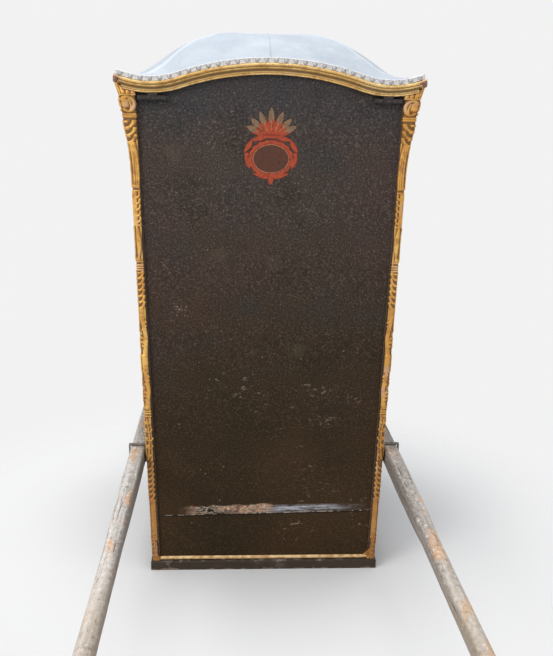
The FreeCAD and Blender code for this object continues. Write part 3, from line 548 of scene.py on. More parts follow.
braid = plain_finish("braid_wool", (232, 230, 226), (186, 184, 182), 0.85, 240.0)
nail_tin = nail_finish()
iron = plain_finish("wrought_iron", (46, 43, 41), (84, 62, 48), 0.55, 52.0, 0.75)
pale_gilt = plain_finish("pale_gilt", (236, 202, 148), (184, 138, 84), 0.45, 70.0, 0.15)
tip_gilt = plain_finish("rubbed_gilt_tips", (150, 106, 84), (82, 54, 42), 0.5, 90.0, 0.1)
strap_iron = plain_finish("strap_iron", (142, 132, 124), (104, 90, 80), 0.75, 70.0, 0.1)
brass = plain_finish("old_brass", (206, 164, 92), (132, 94, 48), 0.32, 40.0, 0.95, 0.0002)
screw_iron = plain_finish("screw_iron", (92, 88, 84), (60, 50, 42), 0.5, 200.0, 0.8)
print("braid, nail and metal finishes:", braid.name, nail_tin.name, iron.name, brass.name)

# %% [markdown]
# Wood shows its grain as fine lines along one axis, in wider bands. The poles are bare ash gone
# silver-grey outdoors, with warm brown patches and a tan where the bearers hold them. Their inner and
# lower sides are painted darker as shade.

# %% Wood of the poles
def grain(f, along, fineness=1.0):
    """Fine lines of grain along one axis, and the wider bands they run in."""
    squeeze = [95.0 * fineness] * 3
    squeeze["xyz".index(along)] = 2.2
    lines = f.noise(1.0, 5, 0.62, f.stretched(*squeeze), 0.3)
    wide = [22.0 * fineness] * 3
    wide["xyz".index(along)] = 0.9
    bands = f.noise(1.0, 3, 0.5, f.stretched(*wide), 0.6)
    return lines, bands


def pole_finish():
    f = Finish("weathered_ash", Specular_IOR_Level=0.3)
    lines, bands = grain(f, "y")
    split = f.noise(1.0, 4, 0.6, f.stretched(150, 3.4, 150), 0.2).rise(0.64, 0.70)
    warm = f.noise(1.0, 4, 0.65, f.stretched(16, 4.5, 16)) + (f.noise(60.0, 3, 0.7) - 0.5) * 0.25
    flecks = f.noise(105.0, 4, 0.8, f.stretched(1, 0.55, 1))
    f.colour = f.mix(bands.rise(0.35, 0.65), (206, 200, 194), (166, 158, 150))
    f.lay(lines.rise(0.42, 0.66) * 0.6, (124, 114, 102))
    f.lay(warm.rise(0.52, 0.62) * 0.85, (198, 158, 122))
    f.lay(flecks.rise(0.54, 0.66) * 0.75, (232, 228, 222))
    f.lay(flecks.rise(0.45, 0.34) * 0.75, (92, 82, 72))
    # The inner and lower sides are painted darker as shade.
    inner = (f.x.size() + (flecks - 0.5) * 0.008).rise(POLE_AT - 0.010, POLE_AT - 0.019)
    under = (f.z + (flecks - 0.5) * 0.008).rise(POLE_HIGH - 0.008, POLE_HIGH - 0.018)
    f.lay(inner.most(under) * 0.62, (84, 72, 62))
    grip = f.y.size().rise(0.95, 1.35)
    f.lay(grip * 0.30, (176, 154, 122))
    f.lay(split * 0.8, (70, 60, 52))
    rough = 0.72 - 0.18 * grip + 0.1 * lines
    skin = f.bump(lines * 0.8 - split * 2.0 + bands * 0.6 + flecks * 0.6, 0.0013, 0.8)
    return f.done(Roughness=rough, Normal=skin)


pole_wood = pole_finish()
print("pole finish:", pole_wood.name)

# %% [markdown]
# The plinth is stained almost black and chipped, most of all along its edges. The seat and floor boards
# are plain waxed pine, with knots and with dark seams between the boards.

# %% Wood of the plinth and boards
def plinth_finish():
    f = Finish("black_plinth", Specular_IOR_Level=0.3)
    lines, bands = grain(f, "x", 0.8)
    chip = f.noise(34.0, 4, 0.7)
    edge = (f.z.rise(0.024, 0.030) * 0.7).most(f.z.rise(0.009, 0.002))
    bare = (chip + 0.15 * edge).rise(0.61, 0.72)
    f.colour = f.mix(bands, (66, 53, 40), (44, 35, 26))
    f.lay(f.noise(9.0, 3, 0.6).rise(0.5, 0.7) * 0.5, (84, 70, 62))
    f.lay(bare * 0.6, (150, 134, 118))
    skin = f.bump(lines * 0.6 - bare * 0.9, 0.0009, 0.8)
    return f.done(Roughness=0.6 + 0.25 * bare, Normal=skin)


def board_finish():
    f = Finish("waxed_pine")
    lines, bands = grain(f, "x", 0.6)
    knots = f.cells(7.0, "F1", f.stretched(0.5, 1.6, 1.6)).rise(0.10, 0.02)
    f.colour = f.mix(bands.rise(0.3, 0.7), (164, 122, 78), (128, 88, 50))
    f.lay(lines.rise(0.45, 0.75) * 0.6, (98, 62, 34))
    f.lay(knots * 0.7, (62, 36, 20))
    seam = ((f.y * 48.0).wave().size()).rise(0.05, 0.0)
    f.lay(seam * 0.8, (32, 22, 15))
    skin = f.bump(lines * 0.5 - seam * 1.6, 0.001, 0.7)
    return f.done(Roughness=0.48 + 0.2 * lines, Normal=skin)


plinth_wood = plinth_finish()
board_wood = board_finish()
print("plinth and board finishes:", plinth_wood.name, board_wood.name)

# %% [markdown]
# Old window glass is slightly wavy and faintly green. The seat is covered in crimson silk damask, a
# pattern of satin leaves on a dull ground, faded in patches.

# %% Glass and silk
def glass_finish():
    f = Finish("old_glass", Transmission_Weight=1.0, IOR=1.45, Roughness=0.02,
               Base_Color=(0.90, 0.96, 0.93, 1))
    wavy = f.bump(f.noise(9.0, 2, 0.5, f.stretched(1, 1, 0.5)), 0.002, 0.25)
    return f.done(Normal=wavy)


def silk_finish():
    f = Finish("crimson_damask", Sheen_Weight=0.35, Sheen_Roughness=0.4)
    u, v = f.x * 52.0, (f.y + f.z) * 38.0
    leaf = (u.wave() * v.wave() + 0.6 * (u * 2.0 + v).wave() * (u - v * 2.0).wave()).rise(0.10, 0.22)
    thread = (f.x * 3000.0).wave() * ((f.y + f.z) * 3000.0).wave()
    fade = f.noise(5.0, 4, 0.6)
    f.colour = f.mix(leaf, (126, 24, 34), (166, 50, 52))
    f.lay(fade.rise(0.45, 0.7) * 0.35, (186, 92, 80))
    rough = 0.62 - 0.24 * leaf
    skin = f.bump(leaf * 0.3 + thread * 0.2, 0.0005, 0.7)
    return f.done(Roughness=rough, Normal=skin)


glass = glass_finish()
silk = silk_finish()
piping = plain_finish("silk_piping", (196, 152, 92), (150, 108, 60), 0.5, 300.0)
print("cabin finishes:", glass.name, silk.name, piping.name)

# %% [markdown]
# The frame's own pieces keep their shape. Each takes its finish here, and those with sharp machined
# corners get a small worn rounding, because no old edge is a knife edge.

# %% Finishes on the frame's pieces
def dress(node, material, rounding=0.0):
    piece = frame["nodes"][node]
    piece.data.materials.clear()
    piece.data.materials.append(material)
    if rounding:
        weld = piece.modifiers.new("weld", "WELD")
        weld.merge_threshold = 0.00002
        bevel = piece.modifiers.new("worn_edge", "BEVEL")
        bevel.width, bevel.segments, bevel.limit_method = rounding, 2, "ANGLE"
        bevel.angle_limit = math.radians(35)
        bevel.harden_normals = True


SLOT_FINISH = {
    "dark_leather": (leather_side, 0.0), "gilt_wood": (gilt, 0.0), "roof_leather": (roof_leather, 0.0),
    "pole_wood": (pole_wood, 0.0), "base_wood": (plinth_wood, 0.0018), "plain_wood": (board_wood, 0.0015),
    "iron": (iron, 0.0008), "brass": (brass, 0.0), "glass": (glass, 0.0), "seat_fabric": (silk, 0.0),
}
for entry in record["subparts"]:
    dress(entry["node"], *SLOT_FINISH[entry["material_slot"]])
dress("back_panel", leather_back)
for node in ("roof_hinge_wall_leaves", "roof_hinge_knuckles"):
    dress(node, leather_side, 0.0008)
for end in ("back", "front"):
    for word in ("left", "right"):
        dress(f"bracket_{end}_{word}", strap_iron, 0.0008)
print(len(record["subparts"]), "frame pieces dressed")

# %% [markdown]
# Carving. A carver works a strip with gouges: every leaf, bead and curl is a set of ridges that run along
# a line and end in a rounded tip. A map of heights holds the work. Strokes are laid on it one by one and
# the higher one wins, as when one leaf laps over another. The map is then bent round its post. What stands
# lower than its surroundings is stored as dark, and the gilding paints it darker, as dirt and painted shade.

# %% A carver's strokes
def bend(start, middle, end, count):
    """Points along a curved line from start to end, drawn towards a middle point."""
    t = np.linspace(0, 1, count)[:, None]
    start, middle, end = np.array(start), np.array(middle), np.array(end)
    return start * (1 - t) ** 2 + middle * 2 * t * (1 - t) + end * t ** 2


class Carving:
    """How high the carving stands over a strip, whose width and length are in metres."""

    def __init__(self, width, length, step_across, step_along):
        self.across = np.linspace(0, width, int(round(width / step_across)) + 1)
        self.along = np.linspace(0, length, int(round(length / step_along)) + 1)
        self.high = np.zeros((len(self.along), len(self.across)))

    def stroke(self, line, wide, high):
        """One rounded ridge along a line; wide and high are its half width and height, as (first, last)."""
        wides = np.linspace(*wide, len(line)) if np.ndim(wide) else np.full(len(line), wide)
        highs = np.linspace(*high, len(line)) if np.ndim(high) else np.full(len(line), high)
        for (u, v), w, h in zip(line, wides, highs):
            rows = slice(*np.searchsorted(self.along, (v - w, v + w)))
            columns = slice(*np.searchsorted(self.across, (u - w, u + w)))
            far = ((self.across[columns] - u)[None, :] ** 2 + (self.along[rows] - v)[:, None] ** 2) / w ** 2
            patch = self.high[rows, columns]
            np.maximum(patch, h * np.sqrt(np.maximum(1 - far, 0)), out=patch)

    def leaf(self, root, tip, bow, lobes, spread, wide, high):
        """An acanthus leaf: a bowed rib, and lobes that curl away from it on both sides."""
        root, tip = np.array(root), np.array(tip)
        ahead = (tip - root) / np.hypot(*(tip - root))
        aside = np.array([-ahead[1], ahead[0]])
        rib = bend(root, (root + tip) / 2 + aside * bow, tip, 44)
        self.stroke(rib, (wide * 1.2, wide * 0.7), (high, high * 0.8))
        for k in range(lobes):
            t = (k + 0.4) / lobes
            start = rib[int(t * 43)]
            reach = spread * math.sin(math.pi * (0.22 + 0.68 * t))
            for turn in (-1, 1):
                out = start + aside * turn * reach + ahead * reach * 0.9
                lobe = bend(start, start + aside * turn * reach * 0.95, out, 14)
                self.stroke(lobe, (wide * 0.8, wide), (high * 0.55, high))

    def both_sides(self):
        """Repeat the work, mirrored, on the strip's other side."""
        self.high = np.maximum(self.high, self.high[:, ::-1])

    def tone(self, ground):
        """0 in hollows and 1 on ridges, from the height over the surroundings."""
        # The gilding paints low tones dark: partly dirt in the hollows, partly painted shade.
        around = soften(soften(self.high, 3), 3)
        tone = 0.55 + (self.high - around) / 0.0011 + (self.high > 0.0022) * 0.15
        return np.where(self.high > ground, np.clip(tone, 0.02, 1.0), -1.0)


def soften(field, reach):
    """Each number replaced by the mean of those around it."""
    padded = np.pad(field, reach, mode="edge")
    total = np.zeros_like(field)
    for i in range(2 * reach + 1):
        for j in range(2 * reach + 1):
            total += padded[i:i + field.shape[0], j:j + field.shape[1]]
    return total / (2 * reach + 1) ** 2


print("a leaf of five lobes is", 1 + 2 * 5, "strokes")

# %% [markdown]
# The corner posts are the richest carving on the chair. One strip wraps round the outer corner of each,
# and its two sides mirror each other. From the foot up: a leaf end, a plain fillet, crossing lobes, a
# leaf, a collar, a waving ribbon with sprigs and a swelling, more lobes, a rubbed silvery collar, a leaf
# that bulges over the panel, small leaves beside a plain band, a long fluted leaf with beads at its foot,
# crossing curls, a collar, a ring round a boss, and a fluted neck under the eaves. The strip is narrower
# near the foot.

# %% A carver's moves on a post
ROUND = 0.006
FACE = POST - ROUND
STRIP = 2 * FACE + ROUND * math.pi / 2
RIDGE = STRIP / 2
POST_HEAD, POST_TOP = 1.410, 1.446
LENGTH = POST_TOP - FOOT
FINE, STEP_ACROSS, STEP_ALONG = 0.001, 0.00105, 0.0017


def at(u, z):
    """A place on the strip, from how far across it is and how high it is over the floor."""
    return u, z - FOOT


class PostStrip(Carving):
    """The strip that is bent round a post. Its ridges are cut in a few usual ways."""

    def bar(self, z, start, wide, high):
        """A ridge across the strip, from near the panel to the corner."""
        self.stroke([at(u, z) for u in np.arange(start, RIDGE, FINE)], wide, high)

    def stem(self, u, low, top, wide, high):
        """A ridge that runs straight up the post."""
        self.stroke([at(u, z) for z in np.arange(low, top, FINE)], wide, high)

    def bead(self, u, z, wide, high):
        self.stroke([at(u, z)], wide, high)

    def sweep(self, start, middle, end, count, wide, high):
        """A curved ridge from start to end, drawn towards a middle place."""
        self.stroke(bend(at(*start), at(*middle), at(*end), count), wide, high)

    def curl(self, z, reach, wide, high):
        """One lobe that rises from the corner and curls over towards the panel."""
        self.sweep((0.0190, z - 0.012), (0.0105, z - 0.010), (reach, z + 0.006), 24,
                   (wide * 0.8, wide), (high * 0.7, high))
        self.bead(reach + 0.0006, z + 0.0055, wide * 1.15, high * 1.12)


print("the strip is", round(STRIP * 1000, 1), "mm wide and", round(LENGTH, 3), "m long")

# %% [markdown]
# The motifs are short stretches of strokes. Each is given by its place on the strip in metres, so a motif
# can be moved or cut again by itself. The edge of the ground draws back from the panel towards the foot.

# %% Motifs up to the silvery collar
PANEL_EDGE = 0.007
COLLARS = (0.101, 0.106, 0.228, 0.233, 0.5, 0.508, 0.516, 0.929, 0.961, 1.062, 1.158)
SILVERY = (0.931, 0.96)


def carve_ground(work, height):
    """A low ground, whose edge stands further from the panel towards the foot, and the collars."""
    inner = np.interp(height, [0.03, 0.23, 0.4, 0.75, 1.0, 1.2, 1.43],
                      [PANEL_EDGE, 0.0068, 0.0052, 0.005, 0.0046, 0.002, 0.0008])
    edge = np.minimum(work.across[None, :], STRIP - work.across[None, :]) - inner[:, None]
    work.high = np.clip(edge / 0.0012, 0, 1) * 0.0013
    for z in COLLARS:
        work.bar(z, PANEL_EDGE * 0.8, 0.0021, 0.0036)


def carve_foot(work):
    """A leaf end, a plain fillet, crossing lobes and a leaf."""
    work.leaf(at(0.015, 0.1), at(0.014, 0.042), 0.0, 4, 0.007, 0.0017, 0.0032)
    work.stem(0.0135, 0.104, 0.226, 0.0086, 0.0022)
    for z in np.arange(0.246, 0.352, 0.0165):
        work.curl(z, 0.0072, 0.0038, 0.0044)
    work.leaf(at(0.02, 0.362), at(0.0185, 0.494), 0.012, 5, 0.0095, 0.0026, 0.0048)


def carve_ribbon(work):
    """A waving ribbon with sprigs and a swelling, more lobes, and the bars of the silvery collar."""
    wave = np.arange(0.526, 0.826, 0.0012)
    work.stroke([at(0.0125 + 0.0036 * math.sin(2 * math.pi * z / 0.155), z) for z in wave], 0.0062, 0.0034)
    for z, way in ((0.556, 1), (0.604, -1), (0.72, 1), (0.768, -1)):
        work.leaf(at(0.0125, z - 0.012), at(0.0125 + way * 0.006, z + 0.022), 0.003 * way, 3, 0.005,
                  0.0022, 0.0048)
    work.stem(0.0135, 0.64, 0.684, 0.0084, 0.0054)
    for z in np.arange(0.838, 0.924, 0.0172):
        work.curl(z, 0.0064, 0.004, 0.005)
    for z in np.arange(0.937, 0.958, 0.007):
        work.bar(z, 0.0056, 0.0023, 0.0034)


print(len(COLLARS), "collar bars")

# %% [markdown]
# Above the silvery collar the carving stands out a little further. The same ways of cutting are used
# again: sweeps make the bulging leaf and the long leaf's flutes, and curls, beads and bars fill the head.

# %% Motifs of the upper posts
def carve_leaves(work):
    """The bulging leaf, small leaves beside a plain band, and the long fluted leaf with beads at its foot."""
    for k in range(5):
        work.sweep((0.018 - 0.001 * k, 0.966), (0.0005 + 0.0042 * k, 1.01), (0.0165, 1.058), 60,
                   0.0025, 0.005 - 0.0003 * k)
    work.stem(0.017, 1.066, 1.154, 0.0056, 0.003)
    for z in np.arange(1.078, 1.15, 0.0168):
        work.sweep((0.013, z - 0.006), (0.0052, z - 0.004), (0.0058, z + 0.006), 16, 0.0029, 0.0046)
    flutes = ((0.0068, 0.0016, 0.011), (0.0125, 0.0072, 0.015), (0.0175, 0.014, 0.0185))
    for k, (low, middle, high) in enumerate(flutes):
        work.sweep((low, 1.168), (middle, 1.226), (high, 1.286), 90, 0.0036 - 0.0005 * k, 0.0056 - 0.0006 * k)
    for u in (0.0065, 0.011, 0.0155, 0.0195):
        work.bead(u, 1.171, 0.003, 0.0048)


def carve_head(work):
    """Crossing curls, a collar, a ring round a boss, and the fluted neck."""
    for z in (1.3, 1.319, 1.338):
        work.curl(z, 0.0044, 0.0034, 0.0056)
        work.bead(0.018, z + 0.004, 0.003, 0.0052)
    for z in (1.356, 1.3615):
        work.bar(z, 0.002, 0.0022, 0.004)
    ring = np.linspace(-0.75 * math.pi, 0.8 * math.pi, 90)
    work.stroke([at(0.0112 - 0.0085 * math.cos(a), 1.388 + 0.0185 * math.sin(a)) for a in ring],
                (0.0022, 0.0034), 0.0058)
    work.stem(0.0148, 1.384, 1.398, 0.0056, 0.007)
    work.sweep((0.0085, 1.371), (0.0055, 1.384), (0.0095, 1.4), 20, 0.002, 0.0046)
    work.bar(1.413, 0.001, 0.0026, 0.0042)
    for u in (0.0035, 0.0085, 0.0135, 0.0185):
        work.stem(u, 1.418, POST_TOP, 0.0022, 0.0034)


print("the neck over the flare is", round((POST_TOP - POST_HEAD) * 1000), "mm tall")

# %% [markdown]
# The four stretches are cut into one strip, and mirrored about its middle. The bars of one collar are
# marked as rubbed, so that the gilding shows pinkish silver there.

# %% Cutting the strip
post_work = PostStrip(STRIP, LENGTH, STEP_ACROSS, STEP_ALONG)
post_z = post_work.along + FOOT
carve_ground(post_work, post_z)
for carve in (carve_foot, carve_ribbon, carve_leaves, carve_head):
    carve(post_work)
post_work.both_sides()
post_tone = post_work.tone(0.0002)
rubbed = (post_z > SILVERY[0]) & (post_z < SILVERY[1])
post_tone[rubbed] = np.where(post_tone[rubbed] > 0.35, 1.5, post_tone[rubbed])
print("carving map", post_work.high.shape, "highest", round(float(post_work.high.max()) * 1000, 1), "mm")

# %% [markdown]
# A post leans with the walls and flares out in an arc under the eaves. Each post wears the strip in its
# own way: the lower part is stippled with a punch, and on the front left post the strip is left flat under
# the door's hinges.

# %% The strip on each post
HINGE_PLACES, HINGE_REACH = (0.230, 0.670, 1.110), 0.042
NECK, NECK_GAP = {"wide": 0.35, "deep": -0.25}, 0.0010


def flared(side, z):
    """Half width or depth to the outer face of the posts, with their flared neck."""
    base = half(side, FLARE_FROM)
    reach = HALF_HEAD[side] + FLARE[side] - base
    run = POST_HEAD - FLARE_FROM
    radius = (run ** 2 + reach ** 2) / 2 / reach
    rise = np.clip(z - FLARE_FROM, 0, run)
    neck = np.clip(z - POST_HEAD, 0, None) * NECK[side]
    return np.where(z > FLARE_FROM, base + radius - np.sqrt(radius ** 2 - rise ** 2) + neck, half(side, z))


def worn_strip(name, door_side):
    """The strip's height and tone as one post wears it, punched below and flat under the door's hinges."""
    high, tone = post_work.high.copy(), post_tone.copy()
    if door_side:
        for place in HINGE_PLACES:
            rows = np.abs(post_z - place) < HINGE_REACH
            high[np.ix_(rows, post_work.across < RIDGE)] = 0.0001
    high += 0.0004 + np.abs(worn_noise(high.shape, hash_of(name), (9, 30))) * 0.0003
    punched = np.abs(worn_noise(high.shape, 31, (2, 3))) * np.clip((0.5 - post_z) / 0.12, 0, 1)[:, None]
    high -= 0.0007 * punched
    tone = np.where(tone > 0, np.clip(tone - 0.45 * punched, 0.02, 1.5), tone)
    bulge = 0.0045 * np.exp(-((post_z - 1.335) / 0.036) ** 2)
    rim = np.minimum(post_work.across, STRIP - post_work.across)
    push = high + bulge[:, None] * np.clip(rim / 0.008, 0, 1)
    push[:, [0, -1]] = 0.0003
    return push, tone


print("the strip is flat for", round(2000 * HINGE_REACH), "mm at each hinge")

# %% [markdown]
# Bending the strip round a post: it goes over one face, round the worn corner and over the other face, and
# its edges turn in to the panels. Each point is laid where the leaning, flared faces are at its height, and
# pushed out by its carving. What would rise into the cornice is held just under it.

# %% Corner posts
def under_cornice(out):
    """How high over the eaves line the cornice's section starts, at a distance out from the head."""
    return np.interp(out, [0.0, 0.0118, 0.015, 0.026, 0.034], [0.0, 0.0008, 0.006, 0.017, 0.025])


def corner_post(name, x_side, y_side):
    push, tone = worn_strip(name, (x_side, y_side) == (-1, 1))
    s = post_work.across
    turn = np.clip((s - FACE) / ROUND, 0, math.pi / 2)
    back = np.clip(FACE - s, 0, None)
    on = np.clip(s - FACE - ROUND * math.pi / 2, 0, None)
    z = post_z[:, None] + 0 * s[None, :]
    widen = {side: 1 + (flared(side, z) - half(side, z)) / FACE for side in FLARE}
    x = flared("wide", z) - ROUND - back * widen["wide"] + (ROUND + push) * np.sin(turn)
    y = flared("deep", z) - ROUND - on * widen["deep"] + (ROUND + push) * np.cos(turn)
    out_x, out_y = x - HALF_HEAD["wide"], y - HALF_HEAD["deep"]
    under_side, under_back = eaves("deep", y) + under_cornice(out_x), eaves("wide", x) + under_cornice(out_y)
    z = np.minimum(z, np.where(out_x > out_y, under_side, under_back) - NECK_GAP)
    x, y, z, tone = [np.concatenate([g[:, :1], g, g[:, -1:]], 1) for g in (x, y, z, tone)]
    y[:, 0] -= POST_PROUD
    x[:, -1] -= POST_PROUD
    piece = sheet(name, x * x_side, y * y_side, z, gilt, tone, flip=x_side * y_side > 0)
    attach(piece, "root")
    return piece


def hash_of(name):
    """A fixed number for a name, so that every piece is worn in its own way."""
    return sum(ord(c) * (i + 1) for i, c in enumerate(name))


for x_word, x_side in (("left", -1), ("right", 1)):
    for y_word, y_side in (("back", -1), ("front", 1)):
        post = corner_post(f"carved_post_{y_word}_{x_word}", x_side, y_side)
print("a carved post has", len(post.data.polygons), "faces")

# %% [markdown]
# The cornice is a run of bands: a bead at the foot, a hollow, a fillet, a groove and a broad light band.
# The hollow, the groove and the underside are painted dark as shade. It follows the arched eaves on each
# side and is mitred at the corners. Its tips are rubbed to a pinkish silver. It is made again here with a
# finer section than the frame's, and stands in the frame's place.

# %% Cornice
def cove(count):
    """The hollow between the bead and the fillet, part of a circle."""
    a, b = np.array([0.015, 0.006]), np.array([0.026, 0.017])
    return bend(a, (a + b) / 2 + np.array([-0.0030, 0.0030]), b, count)


# The third column is a tone for the gilding: low numbers paint the cove, the groove and the underside dark as
# shade.
SECTION = [  # out from the head of the posts, up from the eaves, and how bright
    (0.005, 0.0, 0.1), (0.0095, 0.0, 0.1), (0.0118, 0.0008, 0.5), (0.0130, 0.0026, 1.0),
    (0.0128, 0.0042, 0.9), (0.0116, 0.0056, 0.2), (0.0132, 0.0059, 0.0), (0.0150, 0.0060, 0.4),
    *[(o, u, t) for (o, u), t in zip(cove(7)[1:-1], (0.20, 0.05, 0.0, 0.10, 0.3))],
    (0.0260, 0.0168, 0.8), (0.0272, 0.0180, 1.0), (0.0268, 0.0196, 0.7), (0.0256, 0.0203, 0.0),
    (0.0270, 0.0208, 0.0), (0.0312, 0.0232, 0.75), (0.0336, 0.0246, 1.0), (0.0340, 0.0262, 1.0),
    (0.0336, 0.0284, 1.0), (0.0325, 0.0290, 0.9), (0.0215, 0.0290, 0.4), (0.0210, 0.0190, 0.2),
    (-0.034, 0.0190, 0.2), (-0.034, 0.0130, 0.2), (0.005, 0.0130, 0.2),
]


RUBBED_FROM = 0.93  # share of a rail's half length past which its ridges are silvery


def cornice(name, side, sign):
    other = OTHER[side]
    out, up, tone = [np.array(column) for column in zip(*SECTION)]
    count = 340
    t = np.linspace(-1, 1, count)[None, :]
    along = t * (HALF_HEAD[side] + out[:, None])
    worn = worn_noise((len(out), count), hash_of(name), (4, 12)) * 0.00035 * (out > 0.006)[:, None]
    height = eaves(side, along, up[:, None] + worn)
    away = HALF_HEAD[other] + out[:, None] + worn + 0 * along
    x, y = (along, sign * away) if side == "wide" else (sign * away, along)
    tip = (np.abs(t) > RUBBED_FROM) & (tone[:, None] > 0.55)
    bright = np.where(tip, 1.0 + 0.5 * (np.abs(t) - RUBBED_FROM) / 0.04, tone[:, None] + 0 * t)
    piece = sheet(name, x, y, height, gilt_rail, np.clip(bright, 0, 1.5), along=True,
                  caps=end_columns(len(out), count), smooth=False)
    face_outwards(piece)
    piece.data.shade_smooth()
    piece.data.set_sharp_from_angle(angle=math.radians(50))
    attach(piece, "roof")
    return piece


SIDES = (("back", "wide", -1), ("front", "wide", 1), ("left", "deep", -1), ("right", "deep", 1))
for word, side, sign in SIDES:
    rail = cornice(f"gilt_cornice_{word}", side, sign)
    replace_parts(rail, f"cornice_{word}")
print("a cornice rail has", len(rail.data.polygons), "faces")

# %% [markdown]
# The roof is a thin shell with a leather hide nailed down over padding. It follows the arched eaves at its
# rim and swells to a cushion in the middle. Near the nails the hide puckers between one nail and the next,
# and over the whole roof it is a little uneven, as old padding is.

# %% Roof
NAIL_PITCH = 0.026
HIP_LIFT, PUCKER, SAG, RIM_ROUND = 0.0070, 0.0009, 0.0016, 0.0015


def roof_underside(u, v):
    """Height of the roof's underside, at u across and v along, each from -1 to 1."""
    from_back, from_side = 1 / (1 - np.abs(v) + 0.01) ** 2, 1 / (1 - np.abs(u) + 0.01) ** 2
    back_line = eaves("wide", u * RIM["wide"], CORNICE_TALL)
    side_line = eaves("deep", v * RIM["deep"], CORNICE_TALL)
    rim = (from_back * back_line + from_side * side_line) / (from_back + from_side)
    rim = rim + DOME_SEAT + 0.0015 * (u * v) ** 10
    lift = (1 - np.abs(u) ** SHOULDER["wide"]) ** 3 * (1 - np.abs(v) ** SHOULDER["deep"]) ** 3
    return rim + (DOME_TOP - DOME_THICK - DOME_FALL * u * u - rim) * lift


def roof_shell():
    count = 151
    line = -np.cos(np.linspace(0, math.pi, count))
    u, v = np.meshgrid(line, line, indexing="ij")
    x, y = u * RIM["wide"], v * RIM["deep"]
    under = roof_underside(u, v)
    from_rim = np.minimum((1 - np.abs(u)) * RIM["wide"], (1 - np.abs(v)) * RIM["deep"])
    along = np.where((1 - np.abs(u)) * RIM["wide"] < (1 - np.abs(v)) * RIM["deep"], y, x)
    held = np.clip(from_rim / 0.004, 0, 1)
    pucker = np.sin(2 * math.pi * along / NAIL_PITCH) * np.exp(-from_rim / 0.016) * held
    uneven = worn_noise(u.shape, 5, (12, 33)) * np.clip(from_rim / 0.06, 0, 1)
    hip = np.abs(np.abs(u) - np.abs(v)) + 0.05 * worn_noise(u.shape, 8, (9, 9))
    under_top = under + HIP_LIFT * np.exp(-(hip / 0.10) ** 2) * np.clip(from_rim / 0.06, 0, 1)
    top = under_top + DOME_THICK + PUCKER * pucker + SAG * uneven - RIM_ROUND * (1 - held)
    points = np.concatenate([np.stack([x, y, z], 2).reshape(-1, 3) for z in (top, under)])
    number = np.arange(count * count).reshape(count, count)
    faces = grid_faces(count, count, flip=True) + grid_faces(count, count, start=count * count)
    rim = np.concatenate([number[:-1, 0], number[-1, :-1], number[:0:-1, -1], number[0, :0:-1]])
    after = np.roll(rim, -1)
    faces += np.stack([rim, after, after + count * count, rim + count * count], 1).tolist()
    # The stored tone dips in the troughs of the puckers and the padding, where the roof's finish paints
    # shade.
    tone = np.concatenate([(0.6 + 0.3 * pucker + 0.12 * uneven).ravel(), np.full(count * count, 0.6)])
    piece = face_outwards(mesh_piece("leather_roof", points, faces, roof_leather, tone))
    piece.data.set_sharp_from_angle(angle=math.radians(50))
    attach(piece, "roof")
    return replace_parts(piece, "roof_dome")


roof = roof_shell()
print("roof height", round(max(v.co.z for v in roof.data.vertices), 4))

# %% [markdown]
# Cords, welts and piping are all a round line laid along a path. The hide is sewn up from pieces, so a
# welt runs over the roof from back to front, and a woollen cord closes the edge over the braid.

# %% Round cords
def tube(name, path, radius, material, closed=False, sides=8):
    """A round cord through the points of a path, with closed ends unless it joins up on itself."""
    path = np.asarray(path, float)
    ahead = np.roll(path, -1, 0) - np.roll(path, 1, 0)
    if not closed:
        ahead[0], ahead[-1] = path[1] - path[0], path[-1] - path[-2]
    ahead /= np.linalg.norm(ahead, axis=1)[:, None]
    steady = np.array([0, 0, 1.0]) if abs(ahead[:, 2]).max() < 0.9 else np.array([0.3, 1.0, 0.1])
    first = np.cross(ahead, steady)
    first /= np.linalg.norm(first, axis=1)[:, None]
    second = np.cross(ahead, first)
    angle = np.arange(sides) * 2 * math.pi / sides
    ring = first[:, None] * np.cos(angle)[None, :, None] + second[:, None] * np.sin(angle)[None, :, None]
    points = (path[:, None] + radius * ring).reshape(-1, 3)
    faces = grid_faces(len(path), sides, around=True, along=closed)
    if not closed:
        faces += end_rings(len(path), sides)
    return face_outwards(mesh_piece(name, points, faces, material, np.full(len(points), 0.7)))


def rim_path(spacing, outset, over):
    """Points round the roof's edge, and the way each faces, at a height over the cornice."""
    places, aims = [], []
    for side, sign, way in (("wide", -1, 1), ("deep", 1, 1), ("wide", 1, -1), ("deep", -1, -1)):
        reach = RIM[side] + outset
        count = int(round(2 * reach / spacing))
        run = way * ((np.arange(count) + 0.5) / count * 2 * reach - reach)
        away = np.full(count, sign * (RIM[OTHER[side]] + outset))
        height = eaves(side, run, CORNICE_TALL) + DOME_SEAT + over
        x, y = (run, away) if side == "wide" else (away, run)
        places.append(np.stack([x, y, height], 1))
        aim = (0, sign, 0) if side == "wide" else (sign, 0, 0)
        aims.append(np.tile(aim, (count, 1)))
    return np.concatenate(places), np.concatenate(aims).astype(float)


middle = np.linspace(-0.975, 0.975, 120)
over_hide = roof_underside(0 * middle, middle) + DOME_THICK + 0.0003
welt_path = np.stack([0 * middle, middle * RIM["deep"], over_hide], 1)
welt = tube("roof_welt", welt_path, 0.0010, roof_leather)
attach(welt, "roof")
edge_path, _ = rim_path(0.006, 0.0008, DOME_THICK + 0.0006)
edge_cord = tube("roof_edge_cord", edge_path, 0.0018, braid, closed=True)
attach(edge_cord, "roof")
print("welt and edge cord laid")

# %% [markdown]
# The braid is a woollen band with scalloped edges, laid round the roof's rim over the raw edge of the
# hide. A flat woven edging lies on the hide beside it, with points that show between the nails.

# %% Braid
BRAID_STEP, BRAID_SCALLOP = 0.002, 0.012


